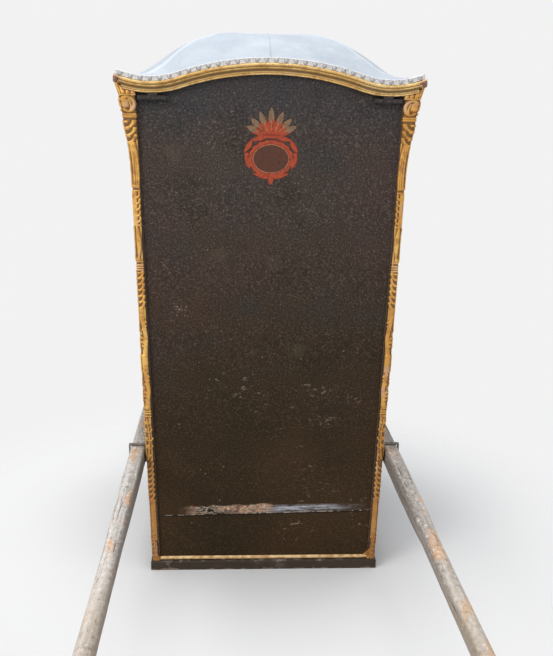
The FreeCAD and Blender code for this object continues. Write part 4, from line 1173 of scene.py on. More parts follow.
def braid_band():
    inner, _ = rim_path(BRAID_STEP, 0.0001, 0.0)
    outer, _ = rim_path(BRAID_STEP, 0.0016, 0.0)
    count = min(len(inner), len(outer))
    share = np.linspace(0, 1, count, endpoint=False)
    pick = [np.stack([np.interp(share * len(p), np.arange(len(p) + 1), np.append(p[:, k], p[0, k]))
                      for k in range(3)], 1) for p in (inner, outer)]
    scallop = 0.0009 * np.abs(np.sin(np.arange(count) * math.pi * BRAID_STEP / BRAID_SCALLOP))
    rows = []
    for path, low, high in ((pick[0], 0.0006, DOME_THICK - 0.001), (pick[1], 0.0002, DOME_THICK + 0.0002)):
        foot, head = path.copy(), path.copy()
        foot[:, 2] += low + scallop
        head[:, 2] += high - scallop
        rows.append((foot, head))
    points = np.concatenate([rows[0][0], rows[1][0], rows[1][1], rows[0][1]])
    faces = grid_faces(4, count, around=True, along=True)
    piece = mesh_piece("roof_braid", points, faces, braid, np.full(len(points), 0.7), smooth=False)
    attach(face_outwards(piece), "roof")
    return piece


LACE_NARROW, LACE_POINT, LACE_THICK = 0.0065, 0.0085, 0.0016


def roof_lace():
    """A flat woven edging on the hide, its inner edge cut into points, one to each nail and one between."""
    points, faces = [], []
    shares = (0.0, 0.25, 0.5, 0.75, 1.0)
    for side, sign in (("wide", -1), ("wide", 1), ("deep", -1), ("deep", 1)):
        run = np.arange(-RIM[side] + 0.004, RIM[side] - 0.004, 0.0026)
        tooth = np.abs((run / NAIL_PITCH * 2) % 1 - 0.5) * 2
        reach = np.minimum(LACE_NARROW + LACE_POINT * tooth, RIM[side] - np.abs(run))
        flip = (side == "wide") == (sign > 0)
        faces += grid_faces(len(shares), len(run), start=sum(map(len, points)), flip=flip)
        for share in shares:
            deep_in = 0.0006 + reach * share
            a, b = run / RIM[side] * (1 - deep_in / RIM[side]), sign * (1 - deep_in / RIM[OTHER[side]])
            u, v = (a, b + 0 * a) if side == "wide" else (b + 0 * a, a)
            lift = DOME_THICK + (LACE_THICK if 0 < share < 1 else 0.0002)
            points.append(np.stack([u * RIM["wide"], v * RIM["deep"], roof_underside(u, v) + lift], 1))
    piece = mesh_piece("roof_lace", np.concatenate(points), faces, braid, smooth=False)
    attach(piece, "roof")
    return piece


braid_band()
lace = roof_lace()
print("braid is", round(float(sum(2 * 2 * r for r in RIM.values())), 2), "m long")
print("the edging has", len(lace.data.polygons), "faces")

# %% [markdown]
# Nails, rivets, screws and buttons are all one small thing set many times. A geometry node tree takes a
# cloud of places, each with the way it faces, and sets a head on every one with a slightly different size
# and turn, as handmade nails have. It ends by making them real and giving them their stuff.

# %% Setting nails and buttons
def setting_tree(head, material, seed):
    tree = bpy.data.node_groups.new("set_heads", "GeometryNodeTree")
    tree.interface.new_socket("Places", in_out="INPUT", socket_type="NodeSocketGeometry")
    for socket in ("Smallest", "Largest"):
        tree.interface.new_socket(socket, in_out="INPUT", socket_type="NodeSocketFloat")
    tree.interface.new_socket("Heads", in_out="OUTPUT", socket_type="NodeSocketGeometry")

    def add(kind, links=None, **settings):
        node = tree.nodes.new(kind)
        for key, setting in settings.items():
            setattr(node, key, setting)
        sockets = {s.identifier: s for s in node.inputs}
        for key, given in (links or {}).items():
            if isinstance(given, bpy.types.NodeSocket):
                tree.links.new(given, sockets[key])
            else:
                sockets[key].default_value = given
        return node

    start = add("NodeGroupInput")
    aim = add("GeometryNodeInputNamedAttribute", {"Name": "aim"}, data_type="FLOAT_VECTOR")
    face = add("FunctionNodeAlignRotationToVector", {"Vector": aim.outputs["Attribute"]}, axis="Z")
    spin = add("FunctionNodeRandomValue", {"Min_001": 0.0, "Max_001": 6.28, "Seed": seed}, data_type="FLOAT")
    about = add("FunctionNodeAxisAngleToRotation", {"Axis": (0, 0, 1), "Angle": spin.outputs[1]})
    turned = add("FunctionNodeRotateRotation", {"Rotation": face.outputs[0], "Rotate By": about.outputs[0]},
                 rotation_space="LOCAL")
    least, most = start.outputs["Smallest"], start.outputs["Largest"]
    size = add("FunctionNodeRandomValue", {"Min_001": least, "Max_001": most, "Seed": seed + 1},
               data_type="FLOAT")
    shape = add("GeometryNodeObjectInfo", {"Object": head})
    put = add("GeometryNodeInstanceOnPoints", {
        "Points": start.outputs["Places"], "Instance": shape.outputs["Geometry"],
        "Rotation": turned.outputs[0], "Scale": size.outputs[1]})
    real = add("GeometryNodeRealizeInstances", {"Geometry": put.outputs[0]})
    clothed = add("GeometryNodeSetMaterial", {"Geometry": real.outputs[0], "Material": material})
    end = add("NodeGroupOutput")
    tree.links.new(clothed.outputs[0], end.inputs["Heads"])
    return tree


def set_heads(name, places, aims, head, material, body, seed=1, spread=0.08):
    """A piece made of one head at every place, each facing its own way."""
    cloud = bpy.data.meshes.new(f"{name}_places")
    cloud.from_pydata([tuple(p) for p in places], [], [])
    aim = cloud.attributes.new("aim", "FLOAT_VECTOR", "POINT")
    aim.data.foreach_set("vector", np.asarray(aims, float).ravel())
    holder = add_object(f"{name}_holder", cloud)
    setter = holder.modifiers.new("set", "NODES")
    setter.node_group = setting_tree(head, material, seed)
    for socket in setter.node_group.interface.items_tree:
        if socket.name in ("Smallest", "Largest"):
            setter[socket.identifier] = 1 - spread if socket.name == "Smallest" else 1 + spread
    mesh = settled_mesh(holder)
    bpy.data.objects.remove(holder)
    mesh.name = name
    piece = add_object(name, mesh)
    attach(piece, body)
    print(name, "has", len(places), "heads and", len(mesh.polygons), "faces")
    return piece

# %% [markdown]
# A head is turned in a few rings: a flat brim, a shoulder and a crown. The same shape serves for the
# roof's nails, the brackets' rivets and, smaller and with a sunk crown, the hinges' screws.

# %% Heads of nails, rivets and screws
def domed_head(name, radius, height, sunk=False, sides=14):
    """A closed round head whose flat back lies at its origin. A sunk crown makes it a screw's."""
    rings = [(1.0, 0.0), (1.0, 0.18), (0.86, 0.40), (0.66, 0.75), (0.38, 0.94)]
    angle = np.arange(sides) * 2 * math.pi / sides
    points = [(radius * r * math.cos(a), radius * r * math.sin(a), height * h)
              for r, h in rings for a in angle]
    faces = grid_faces(len(rings), sides, around=True)
    points.append((0, 0, height * (0.55 if sunk else 1.0)))
    last = (len(rings) - 1) * sides
    faces += [[last + k, last + (k + 1) % sides, len(points) - 1] for k in range(sides)]
    faces.append(list(reversed(range(sides))))
    # Low numbers at the brim make the nails' finish paint a dark ring there: partly rust, partly painted
    # shadow.
    tone = np.append(np.repeat([0.0, 0.1, 0.5, 1.0, 1.0], sides), 1.0)
    head = face_outwards(mesh_piece(name, points, faces, nail_tin, tone))
    head.hide_render = head.hide_viewport = True
    return head


nail_head = domed_head("nail_shape", 0.0062, 0.0032)
screw_head = domed_head("screw_shape", 0.0030, 0.0010, sunk=True)
nail_places, nail_aims = rim_path(NAIL_PITCH, 0.0012, DOME_THICK * 0.62)  # a little over the braid's middle
set_heads("roof_nails", nail_places, nail_aims, nail_head, nail_tin, "roof", seed=3)

# %% [markdown]
# A gilt filling rounds each bottom corner of the back panel, where the gilding meets the leather. The one
# on the right is larger. Its face is stippled all over with a punch.

# %% Corner fillings of the back panel
def panel_face(z):
    """Where the back panel's outer face is, at a height."""
    return -(half("deep", z) - POST_PROUD)


def corner_spandrel(name, sign, size):
    """A gilt filling that rounds a lower corner of the panel, stippled all over with a punch."""
    rows, columns = 30, 26
    up = np.linspace(0, size, rows)[:, None]
    reach = size - np.sqrt(np.maximum(size ** 2 - (size - up) ** 2, 0)) + 0.0012
    share = np.linspace(0, 1, columns)[None, :] + 0 * up
    across = share * reach
    rim = np.minimum(share, 1 - share)
    stipple = worn_noise((rows, columns), hash_of(name), (3, 5))
    high = np.clip(rim / 0.08, 0, 1) * (0.0026 + 0.0009 * stipple)
    z = FOOT + 0.0015 + up + 0 * across
    x = half("wide", z) - POST + 0.0082 - across
    over_post = np.clip((x - half("wide", z) + POST) / 0.0012 + 1, 0, 1)
    y = panel_face(z) + 0.0002 - high - over_post * (POST_PROUD + 0.0004)
    tone = np.clip(0.55 + 0.9 * stipple, 0, 1.3)
    piece = sheet(name, sign * x, y, z, gilt, tone, flip=sign < 0, smooth=False)
    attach(piece, "root")
    print(name, "rounds", round(size * 1000), "mm of its corner")
    return piece


for word, sign, size in (("right", 1, 0.052), ("left", -1, 0.028)):
    corner_spandrel(f"corner_spandrel_{word}", sign, size)

# %% [markdown]
# A half-round gilt bead closes the back and the sides at their foot. Its gold is thin and pale, and its
# edge is dented.

# %% Foot beads
BEAD_UP, BEAD_TALL, BEAD_PROUD = 0.0062, 0.0116, 0.0046


def foot_bead(name, node, side, sign):
    """A closed half-round bar along the foot of a wall. side names the axis that the bar runs along."""
    other = OTHER[side]
    low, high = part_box(node)
    reach = (high - low)[0 if side == "wide" else 1] / 2 + (0.0055 if side == "wide" else -0.0002)
    angle = np.linspace(-math.pi / 2, math.pi / 2, 9)
    count = 240
    run = np.linspace(-reach, reach, count)
    dent = worn_noise((len(angle), count), hash_of(name), (3, 11)) * 0.0004
    z = FOOT + BEAD_UP + (BEAD_TALL / 2 * np.sin(angle))[:, None] + 0 * run
    proud = (BEAD_PROUD * np.cos(angle))[:, None] + dent * np.cos(angle)[:, None]
    away = half(other, z) - POST_PROUD + 0.0002 + proud
    x, y = (run + 0 * z, sign * away) if side == "wide" else (sign * away, run + 0 * z)
    tone = np.clip(1.15 + dent * 900, 0.3, 1.5)
    piece = sheet(name, x, y, z, pale_gilt, tone, along=True, caps=end_columns(len(angle), count))
    face_outwards(piece)
    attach(piece, "root")
    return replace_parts(piece, node)


closed_sides = [side for side in SIDES if side[0] != "front"]
for word, side, sign in closed_sides:
    foot_bead(f"gilt_bead_{word}", f"foot_bead_{word}", side, sign)
print(len(closed_sides), "foot beads")

# %% [markdown]
# High on the back panel an ornament is painted in orange-red with khaki tips: a fan of leaves over an oval
# cartouche with a plain dark field, with leaves at each side and a drop below. Sign painters lay the dark
# outline first and the lit shapes over it. Here each daub is a thin flat shape a hair over the leather,
# with its own colour stored on it, and the old paint has rubbed away in specks down to the ground.

# %% Painted ornament
SIDE_LEAVES = (  # root, tip and half width of the leaves at one side
    ((0.010, 1.3080), (0.060, 1.2960), 0.0060), ((0.052, 1.2960), (0.074, 1.2640), 0.0062),
    ((0.058, 1.2220), (0.072, 1.2620), 0.0055), ((0.004, 1.1960), (0.050, 1.2080), 0.0056),
)
FAN_FOOT = 1.3120
RED, DEEP_RED, KHAKI = paint(182, 78, 50), paint(116, 44, 32), paint(138, 116, 90)
PALE, FIELD, EMBER = paint(190, 128, 86), paint(86, 58, 46), paint(156, 60, 42)


def leaf_shape(root, tip, wide, count=20):
    """The outline of a pointed leaf from root to tip."""
    root, tip = np.array(root), np.array(tip)
    ahead = tip - root
    aside = np.array([-ahead[1], ahead[0]]) / np.hypot(*ahead)
    t = np.linspace(0, 1, count)
    swell = wide * np.sin(math.pi * t ** 0.8) ** 0.8
    one, two = [root + t[:, None] * ahead + s * swell[:, None] * aside for s in (1, -1)]
    return np.concatenate([one, two[::-1]])


def oval_shape(centre, wide, tall, lobes=0, depth=0.0, count=96):
    a = np.linspace(0, 2 * math.pi, count, endpoint=False)
    grow = 1 + depth * np.cos(lobes * a)
    return np.array(centre) + np.stack([wide * grow * np.cos(a), tall * grow * np.sin(a)], 1)


def ornament_daubs():
    """The shapes in the order they were painted, each with its colour. Across, and up from the floor."""
    middle = (0.0, 1.2480)
    daubs = []
    for grow, colour, rib in ((0.0016, DEEP_RED, False), (0.0, RED, True)):
        for angle in np.linspace(-66, 66, 7):
            lean = math.radians(angle)
            long = 0.074 - 0.018 * abs(math.sin(lean))
            root = np.array((0.018 * math.sin(lean), FAN_FOOT))
            aim = np.array((math.sin(lean), math.cos(lean)))
            tip = root + aim * (long + grow)
            daubs.append((leaf_shape(root, tip, 0.0090 + grow), colour))
            if rib:
                daubs.append((leaf_shape(root + aim * long * 0.44, tip, 0.0078), KHAKI))
                daubs.append((leaf_shape(root + aim * 0.01, root + aim * long * 0.62, 0.0012), PALE))
        daubs.append((oval_shape((0, FAN_FOOT), 0.036 + grow, 0.0085 + grow, 9, 0.05), colour))
        for turn in (-1, 1):
            for (a, low), (b, high), wide in SIDE_LEAVES:
                daubs.append((leaf_shape((turn * a, low), (turn * b, high), wide + grow), colour))
            daubs.append((oval_shape((turn * 0.0665, 1.2590), 0.0052 + grow, 0.0052 + grow), colour))
        daubs.append((oval_shape(middle, 0.0610 + grow, 0.0500 + grow, 18, 0.022), colour))
        daubs.append((leaf_shape((0, 1.2000), (0, 1.1780 - grow), 0.0068 + grow), colour))
    return daubs + [(oval_shape(middle, 0.0530, 0.0420, 24, 0.012), EMBER),
                    (oval_shape(middle, 0.0500, 0.0392), PALE),
                    (oval_shape(middle, 0.0482, 0.0374), FIELD),
                    (oval_shape((0, FAN_FOOT), 0.0260, 0.0032), EMBER)]


print("ornament of", len(ornament_daubs()), "daubs")

# %% [markdown]
# The daubs lie in one mesh, each a hair further out than the last. Their colours are stored on the points,
# and the finish rubs them away in specks.

# %% Laying the paint
def ornament_finish():
    f = Finish("ornament_paint", IOR=1.45, Specular_IOR_Level=0.25)
    tint = f.add("ShaderNodeAttribute", out="Color", attribute_name="tint")
    specks = f.noise(330.0, 3, 0.7)
    rubbed = specks.rise(0.50, 0.64) * 0.6 + f.noise(48.0, 4, 0.7).rise(0.56, 0.70) * 0.45
    f.colour = f.mix(f.noise(90.0, 3, 0.6).rise(0.35, 0.7) * 0.35, tint, (120, 54, 36))
    f.lay(rubbed, (52, 42, 36))
    skin = f.bump(specks + f.noise(140.0, 2, 0.5, f.stretched(1, 1, 0.2)) * 0.6, 0.0004, 0.6)
    return f.done(Roughness=0.58, Normal=skin)


def ornament():
    points, faces, tints = [], [], []
    for layer, (shape, colour) in enumerate(ornament_daubs()):
        start, count = len(points), len(shape)
        for a, z in np.concatenate([shape, [shape.mean(0)]]):
            points.append((0.003 + a, panel_face(z) - 0.0003 - 0.000006 * layer, z))
            tints.append((*colour, 1.0))
        faces += [(start + k, start + (k + 1) % count, start + count) for k in range(count)]
    piece = mesh_piece("painted_ornament", points, faces, ornament_finish(), smooth=False)
    piece.data.color_attributes.new("tint", "FLOAT_COLOR", "POINT").data.foreach_set("color", np.ravel(tints))
    work = bmesh.new()
    work.from_mesh(piece.data)
    work.normal_update()
    bmesh.ops.reverse_faces(work, faces=[face for face in work.faces if face.normal.y > 0])
    work.to_mesh(piece.data)
    work.free()
    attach(piece, "root")
    return piece


painted = ornament()
print("the paint has", len(painted.data.polygons), "faces")

# %% [markdown]
# The poles are long ash bars, square with worn corners where they pass the cabin, and slowly turned round
# towards the grips. A single outline whose corners soften with distance gives both. Their ends are
# rounded.

# %% Poles
GRIP, POLE_END, END_ROUND, POLE_SIDES = 0.0225, 1.700, 0.014, 44
SQUARE_TO, ROUND_FROM = 0.600, 0.930


def pole(name, sign):
    cap = END_ROUND * (1 - np.cos(np.linspace(0.06, math.pi / 2, 8)))
    run = np.concatenate([-POLE_END + cap, np.linspace(-POLE_END + 0.022, POLE_END - 0.022, 320),
                          POLE_END - cap[::-1]])
    far = np.abs(run)[:, None]
    square = np.interp(far, [SQUARE_TO - 0.08, ROUND_FROM], [9.0, 2.0])
    reach = np.interp(far, [SQUARE_TO, ROUND_FROM], [POLE_HALF, GRIP])
    into_end = np.clip((far - POLE_END + END_ROUND) / END_ROUND, 0, 1)
    reach = reach - END_ROUND * (1 - np.sqrt(1 - into_end ** 2))
    angle = np.arange(POLE_SIDES)[None, :] * 2 * math.pi / POLE_SIDES + 0.01
    cos, sin = np.cos(angle), np.sin(angle)
    worn = worn_noise((len(run), POLE_SIDES), hash_of(name), (5, 17, 60))
    reach = reach - 0.0002 - 0.0005 * np.abs(worn)
    x = POLE_AT + reach * np.sign(cos) * np.abs(cos) ** (2 / square)
    z = POLE_HIGH + reach * np.sign(sin) * np.abs(sin) ** (2 / square)
    piece = sheet(name, sign * x, run[:, None] + 0 * x, z, pole_wood, np.clip(0.6 - worn * 0.3, 0, 1),
                  around=True, caps=end_rings(len(run), POLE_SIDES))
    face_outwards(piece)
    piece.data.set_sharp_from_angle(angle=math.radians(40))
    return piece


for word, sign in (("left", -1), ("right", 1)):
    bar = pole(f"ash_pole_{word}", sign)
    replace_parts(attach(bar, f"pole_{word}"), f"pole_{word}")
print("a pole has", len(bar.data.polygons), "faces")

# %% [markdown]
# The windows are framed in gilt mouldings with a beaded inner edge and a leaf-tip outer edge. A moulding
# follows its opening, straight at the foot and sides and arched at the head, and lies in the leaning plane
# of its wall.

# %% Window openings
WINDOW_FOOT, WINDOW_HEAD, WINDOW_ARCH = 0.770, 1.290, 0.040
SIDE_OPENING = (-0.070, 0.350)
BEAD_LONG, TIP_LONG = 0.0165, 0.022
DOOR_EDGE = POST + 0.0055 + 0.070
# The third column is a tone for the gilding: low numbers paint the dip between the ridges and the edges on
# the wall dark as shade.
RING_SECTION = [  # across from the opening outwards, proud of the wall, how bright
    (0.0, 0.0, 0.1), (0.0, 0.0036, 0.6), (0.0016, 0.0054, 1.0), (0.0042, 0.0060, 1.0), (0.0062, 0.0048, 0.6),
    (0.0070, 0.0030, 0.1), (0.0100, 0.0024, 0.2), (0.0140, 0.0034, 0.5), (0.0180, 0.0058, 0.9),
    (0.0215, 0.0068, 1.0), (0.0246, 0.0056, 0.8), (0.0260, 0.0030, 0.4), (0.0260, 0.0, 0.1),
]


def opening(edges, grow, count=64):
    """Points round a window opening grown by a distance. edges gives its two sides at a height."""
    foot, head = WINDOW_FOOT - grow, WINDOW_HEAD + grow
    t = np.linspace(0, 1, count, endpoint=False)
    (a0, b0), (a1, b1) = [edges(z) for z in (foot, head)]
    a0, a1, b0, b1 = a0 - grow, a1 - grow, b0 + grow, b1 + grow
    reach = (b1 - a1) / 2
    radius = (reach ** 2 + WINDOW_ARCH ** 2) / 2 / WINDOW_ARCH
    along = b1 - t * 2 * reach
    rise = np.sqrt(radius ** 2 - (along - (a1 + b1) / 2) ** 2) - radius + WINDOW_ARCH
    sides = [(a0 + (b0 - a0) * t, foot + 0 * t), (b0 + (b1 - b0) * t, foot + (head - foot) * t),
             (along, head + rise), (a1 + (a0 - a1) * t, head + (foot - head) * t)]
    return np.concatenate([np.stack(side, 1) for side in sides])


print("a side window is", round((SIDE_OPENING[1] - SIDE_OPENING[0]) * 1000), "mm wide")

# %% [markdown]
# The ring of sections is one opening grown outwards step by step, each step with its own height. A wave
# along the run presses beads into the inner ridge, and a longer one presses leaf tips into the outer. The
# dips between the ridges, beads and tips, and the edges on the wall, are painted dark as shade.

# %% Laying the mouldings
def moulding(name, node, edges, lay, body):
    lines = np.stack([opening(edges, d) for d, _, _ in RING_SECTION])
    count = lines.shape[1]
    step = np.linalg.norm(np.roll(lines[4], -1, 0) - lines[4], axis=1)
    run = np.cumsum(step) - step
    proud = np.array([p for _, p, _ in RING_SECTION])[:, None] + 0 * run
    tone = np.array([t for _, _, t in RING_SECTION])[:, None] + 0 * run
    beads = np.abs(np.sin(math.pi * run / BEAD_LONG))
    tips = np.abs(np.sin(math.pi * run / TIP_LONG))
    proud[2:5] -= 0.0016 * (1 - beads)
    proud[8:11] -= 0.0018 * (1 - tips)
    # Between the beads and between the leaf tips the tone drops, so the dips are painted dark as shade.
    tone[2:5] *= 0.25 + 0.75 * beads
    tone[8:11] *= 0.35 + 0.65 * tips
    points = lay(lines[:, :, 0], lines[:, :, 1], proud).reshape(-1, 3)
    faces = grid_faces(len(RING_SECTION), count, around=True, along=True)
    piece = face_outwards(mesh_piece(name, points, faces, gilt, tone))
    piece.data.set_sharp_from_angle(angle=math.radians(55))
    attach(piece, body)
    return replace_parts(piece, node)


def door_edges(z):
    return -(half("wide", z) - DOOR_EDGE), half("wide", z) - DOOR_EDGE


for word, sign in (("left", -1), ("right", 1)):
    ring = moulding(f"gilt_window_{word}", f"window_frame_{word}", lambda z: SIDE_OPENING,
                    lambda a, z, p: np.stack([sign * (half("wide", z) - POST_PROUD + p), a, z], 2), "root")
moulding("gilt_window_door", "door_window_frame", door_edges,
         lambda a, z, p: np.stack([a, half("deep", z) - POST_PROUD + p, z], 2), "door")
print("a moulding has", len(ring.data.polygons), "faces")

# %% [markdown]
# Small fittings: four rivets in each bracket plate, screws in the door hinges' leaves, and a rolled end
# carved at each tip of the cornice.

# %% Rivets, screws and tip rolls
BRACKET_AT, PLATE_PROUD = 0.340, 0.0046
RIVETS = ((-0.022, 0.415), (0.022, 0.415), (-0.022, 0.303), (0.022, 0.303))
places, aims = [], []
for x_side in (-1, 1):
    for y_side in (-1, 1):
        for along, up in RIVETS:
            out = half("wide", up) - POST_PROUD + PLATE_PROUD
            places.append((x_side * out, y_side * BRACKET_AT + along, up))
            aims.append((x_side, 0, 0))
set_heads("bracket_rivets", places, aims, nail_head, iron, "root", seed=9)


def hinge_screws(name, shift, out, apart, body):
    """Two screws in each hinge leaf, a shift from the pin's line, out from the post and so far apart."""
    spots = []
    for place in HINGE_PLACES:
        for z in (place - apart, place + apart):
            spots.append((-(half("wide", z) - POST - 0.009) + shift, half("deep", z) + out, z))
    return set_heads(name, spots, [(0, 1, 0)] * len(spots), screw_head, screw_iron, body, seed=4,
                     spread=0.02)


hinge_screws("post_leaf_screws", -0.0145, 0.0031, 0.026, "root")
hinge_screws("door_leaf_screws", 0.0150, 0.0031 - POST_PROUD, 0.007, "door")

TIP_OUT, TIP_UP, ROLL_HALF = 0.0290, 0.0190, 0.009
roll = tube("tip_roll_shape", [(0, 0, z) for z in (-ROLL_HALF, -0.006, 0.006, ROLL_HALF)], 0.0062, tip_gilt,
            sides=14)
for point in roll.data.vertices:
    if abs(point.co.z) > 0.008:
        point.co.x, point.co.y = point.co.x * 0.45, point.co.y * 0.45
roll.hide_render = roll.hide_viewport = True
tip_high = float(eaves("wide", HALF_HEAD["wide"] + TIP_OUT)) + TIP_UP
corner = [(x * (HALF_HEAD["wide"] + TIP_OUT), y * (HALF_HEAD["deep"] + TIP_OUT), tip_high)
          for x in (-1, 1) for y in (-1, 1)]
set_heads("cornice_tip_rolls", corner, [(0, 0, 1)] * 4, roll, tip_gilt, "roof", seed=2,
          spread=0.05)

# %% [markdown]
# Cushions. A squab is a case of silk, stuffed until it crowns. The case starts as a block cut a little
# small, remeshed evenly, and is blown up as cloth with its seams held in place, so the silk strains
# between them and dimples at the buttons. The result is kept inside its place on the seat. Piping closes
# the seams.

# %% Cushions
CASE_ROUND, BUTTON_DENT, BUTTON_HOLD = 0.008, 0.72, 0.0085


def case_block(name, wide, deep, tall):
    work = bmesh.new()
    bmesh.ops.create_cube(work, size=1.0)
    bmesh.ops.scale(work, vec=(wide, deep, tall), verts=work.verts)
    bmesh.ops.bevel(work, geom=list(work.edges), offset=CASE_ROUND, segments=3, affect="EDGES", profile=0.5)
    mesh = bpy.data.meshes.new(name)
    work.to_mesh(mesh)
    work.free()
    piece = add_object(name, mesh)
    even = piece.modifiers.new("even", "REMESH")
    even.mode, even.voxel_size = "VOXEL", 0.0062
    piece.data = settled_mesh(piece)
    piece.modifiers.clear()
    return piece


def stuffed(name, wide, deep, tall, buttons, frames=20, cap=0.024):
    """A stuffed squab centred on the origin, with its seams and buttons held while it is blown up."""
    piece = case_block(name, wide, deep, tall)
    start = np.array([v.co for v in piece.data.vertices])
    edge = np.minimum(wide / 2 - np.abs(start[:, 0]), deep / 2 - np.abs(start[:, 1]))
    near_seam = CASE_ROUND - 0.001
    seam = (edge < near_seam) & (np.abs(start[:, 2]) > tall / 2 - near_seam)
    button = np.zeros(len(start), bool)
    for x, y in buttons:
        button |= np.hypot(start[:, 0] - x, start[:, 1] - y) < BUTTON_HOLD
    start[button, 2] *= BUTTON_DENT
    piece.data.vertices.foreach_set("co", start.ravel())
    held = piece.vertex_groups.new(name="held")
    held.add([int(i) for i in np.nonzero(seam | button)[0]], 1.0, "REPLACE")
    cloth = piece.modifiers.new("stuffing", "CLOTH")
    cloth.settings.quality = 6
    cloth.settings.use_pressure = True
    cloth.settings.uniform_pressure_force = 4.0
    cloth.settings.effector_weights.gravity = 0.0
    cloth.settings.vertex_group_mass = "held"
    cloth.point_cache.frame_start, cloth.point_cache.frame_end = 1, frames
    for frame_number in range(1, frames + 1):
        bpy.context.scene.frame_set(frame_number)
    shown = piece.evaluated_get(bpy.context.evaluated_depsgraph_get())
    blown = np.array([v.co for v in shown.to_mesh().vertices])
    bpy.context.scene.frame_set(1)
    piece.modifiers.clear()
    move = blown - start
    far = np.linalg.norm(move, axis=1)[:, None]
    start = start + move * np.minimum(1, cap / np.maximum(far, 1e-9))
    piece.data.vertices.foreach_set("co", start.ravel())
    piece.vertex_groups.clear()
    return piece


print("cases are rounded by", CASE_ROUND * 1000, "mm")

# %% [markdown]
# The stuffed case is smoothed once and laid in its place. Piping follows its upper and lower seam, and a
# button sits in each dimple.

# %% Piping and laying the squabs
def seam_path(wide, deep, up, corner=CASE_ROUND, step=0.006):
    """A rectangle with rounded corners, at a height, for a length of piping."""
    points = []
    for k, (x, y) in enumerate(((1, 1), (-1, 1), (-1, -1), (1, -1))):
        for a in np.linspace(0, math.pi / 2, 6) + k * math.pi / 2:
            points.append((x * (wide / 2 - corner) + corner * math.cos(a),
                           y * (deep / 2 - corner) + corner * math.sin(a), up))
    points = np.array(points + points[:1])
    length = np.append(0, np.cumsum(np.linalg.norm(np.diff(points, axis=0), axis=1)))
    even = np.arange(0, length[-1] - step / 2, step)
    return np.stack([np.interp(even, length, points[:, k]) for k in range(3)], 1)


def lay_squab(name, node, wide, deep, tall, buttons, place):
    """Make a squab with its piping and buttons, and set it in its place in the cabin."""
    piece = stuffed(name, wide, deep, tall, buttons)
    piece.data.materials.clear()
    piece.data.materials.append(silk)
    piece.data.transform(place)
    smooth = piece.modifiers.new("smooth", "SUBSURF")
    smooth.levels = smooth.render_levels = 1
    piece.data = settled_mesh(piece)
    piece.modifiers.clear()
    piece.data.shade_smooth()
    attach(piece, "root")
    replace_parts(piece, node)
    for word, up in (("upper", 1), ("lower", -1)):
        path = seam_path(wide - 0.004, deep - 0.004, up * (tall / 2 - 0.002))
        cord = tube(f"{name}_piping_{word}", path, 0.0030, piping, closed=True)
        cord.data.transform(place)
        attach(cord, "root")
    spots = [place @ Vector((x, y, tall / 2 * BUTTON_DENT)) for x, y in buttons]
    aim = place.to_3x3() @ Vector((0, 0, 1))
    set_heads(f"{name}_buttons", spots, [aim] * len(spots), button_head, silk, "root", seed=6)
    print(name, "has", len(piece.data.polygons), "faces")
    return piece

# %% [markdown]
# The seat has one squab that fills its cushion's place, with six buttons. The back has another that leans
# with the wall, with nine. Each case is cut smaller than its place by a set ease, so that it can swell.

# %% The two squabs
SEAT_EASE, BACK_EASE = 0.016, 0.014
BACK_LONG, BACK_THICK = 0.680, 0.048
button_head = domed_head("button_shape", 0.0095, 0.0060)
low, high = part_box("seat_cushion")
middle, size = (low + high) / 2, high - low
seat_buttons = [(x, y) for x in (-0.19, 0.0, 0.19) for y in (-0.10, 0.10)]
lay_squab("seat_squab", "seat_cushion", size.x - SEAT_EASE, size.y - SEAT_EASE, size.z - SEAT_EASE,
          seat_buttons, Matrix.Translation(middle - Vector((0, 0, SEAT_EASE / 4))))
low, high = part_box("back_cushion")
back_buttons = [(x, y) for x in (-0.16, 0.0, 0.16) for y in (-0.21, -0.02, 0.17)]
upright = Matrix.Rotation(math.pi / 2, 4, "X") @ Matrix.Rotation(math.pi, 4, "Y")
leaning = Matrix.Rotation(math.atan2(HALF_HEAD["deep"] - HALF_FOOT["deep"], HEAD - FOOT), 4, "X")
lay_squab("back_squab", "back_cushion", (high - low).x - BACK_EASE, BACK_LONG - BACK_EASE,
          BACK_THICK - BACK_EASE, back_buttons, Matrix.Translation((low + high) / 2) @ leaning @ upright)

# %% [markdown]
# The chair stands on a pale floor that fades out into a plain near-white ground, which glass and metal
# show too. Broad soft light comes from above and a little from behind the camera's left, so the roof is
# bright and the shadow on the floor stays faint.

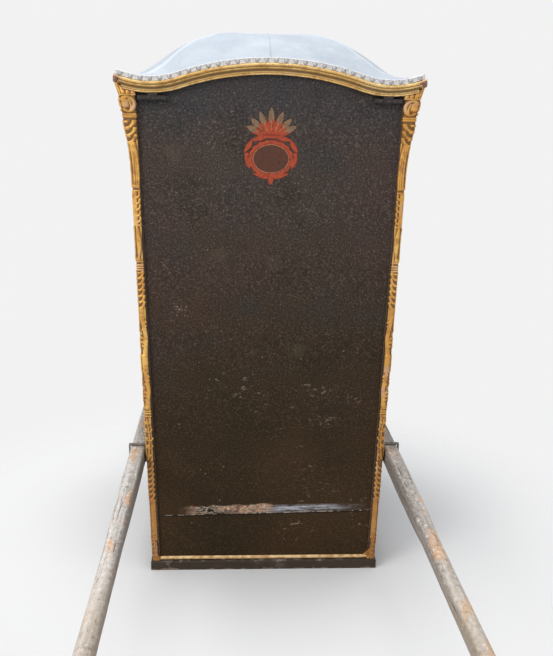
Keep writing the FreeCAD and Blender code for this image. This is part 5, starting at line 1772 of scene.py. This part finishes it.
# %% Floor and light
def build_stage():
    f = Finish("floor", Base_Color=(0.77, 0.765, 0.76, 1), Roughness=0.9, Specular_IOR_Level=0.0)
    away = f.add("ShaderNodeVectorMath", {0: f.place}, out="Value", operation="LENGTH")
    f.join(away.rise(1.35, 0.5), f.coat.inputs["Alpha"])
    floor = mesh_piece("floor", [(-3, -3, 0), (3, -3, 0), (3, 3, 0), (-3, 3, 0)], [(0, 1, 2, 3)], f.material)
    world = bpy.data.worlds.new("studio")
    bpy.context.scene.world = world
    world.use_nodes = True
    tree = world.node_tree
    sky = tree.nodes["Background"]
    sky.inputs["Color"].default_value = (0.93, 0.96, 1.0, 1)
    sky.inputs["Strength"].default_value = 0.75
    ground = tree.nodes.new("ShaderNodeBackground")
    ground.inputs["Color"].default_value = (*paint(242, 242, 242), 1)
    seen = tree.nodes.new("ShaderNodeLightPath")
    choose = tree.nodes.new("ShaderNodeMixShader")
    shown_to = seen.outputs["Is Camera Ray"]
    for kind in ("Is Glossy Ray", "Is Transmission Ray"):
        either = tree.nodes.new("ShaderNodeMath")
        either.operation = "MAXIMUM"
        tree.links.new(shown_to, either.inputs[0])
        tree.links.new(seen.outputs[kind], either.inputs[1])
        shown_to = either.outputs[0]
    tree.links.new(shown_to, choose.inputs[0])
    tree.links.new(sky.outputs[0], choose.inputs[1])
    tree.links.new(ground.outputs[0], choose.inputs[2])
    tree.links.new(choose.outputs[0], tree.nodes["World Output"].inputs["Surface"])


def soft_light(name, place, towards, size, power, colour):
    lamp = bpy.data.lights.new(name, "AREA")
    lamp.shape, lamp.size, lamp.size_y = "RECTANGLE", *size
    lamp.energy, lamp.color = power, colour
    holder = add_object(name, lamp)
    holder.location = place
    holder.rotation_euler = (Vector(towards) - Vector(place)).to_track_quat("-Z", "Y").to_euler()


build_stage()
soft_light("overhead", (-0.3, 0.1, 4.2), (0, -0.1, 0.6), (2.8, 2.8), 112, (0.97, 0.98, 1.0))
soft_light("from_left", (-4.8, -4.6, 4.2), (0, 0, 0.8), (3.0, 3.0), 190, (1.0, 0.98, 0.95))
print("floor and", len(bpy.data.lights), "soft lights")

# %% [markdown]
# The camera stands behind the chair at shoulder height and looks slightly down, a little to the right and
# with a slight roll. It is set by its place and three turns, from which its three axes are worked out.

# %% Camera
CAMERA_PLACE, CAMERA_TURN = (-0.1065, -2.934, 1.378), (3.01, 13.57, 0.901)
scene = bpy.context.scene
lens = bpy.data.cameras.new("camera")
camera = add_object("camera", lens)
scene.camera = camera
lens.sensor_width, lens.lens = 36.0, 49.5
yaw, pitch, roll = (math.radians(a) for a in CAMERA_TURN)
ahead = Vector((math.sin(yaw) * math.cos(pitch), math.cos(yaw) * math.cos(pitch), -math.sin(pitch)))
side = Vector((math.cos(yaw), -math.sin(yaw), 0))
up = side.cross(ahead)
right = side * math.cos(roll) + up * math.sin(roll)
top = up * math.cos(roll) - side * math.sin(roll)
turn = [[right[i], top[i], -ahead[i]] for i in range(3)]
camera.matrix_world = Matrix(turn).to_4x4()
camera.location = CAMERA_PLACE
scene.view_settings.view_transform = "Standard"
print("lens", lens.lens, "mm")
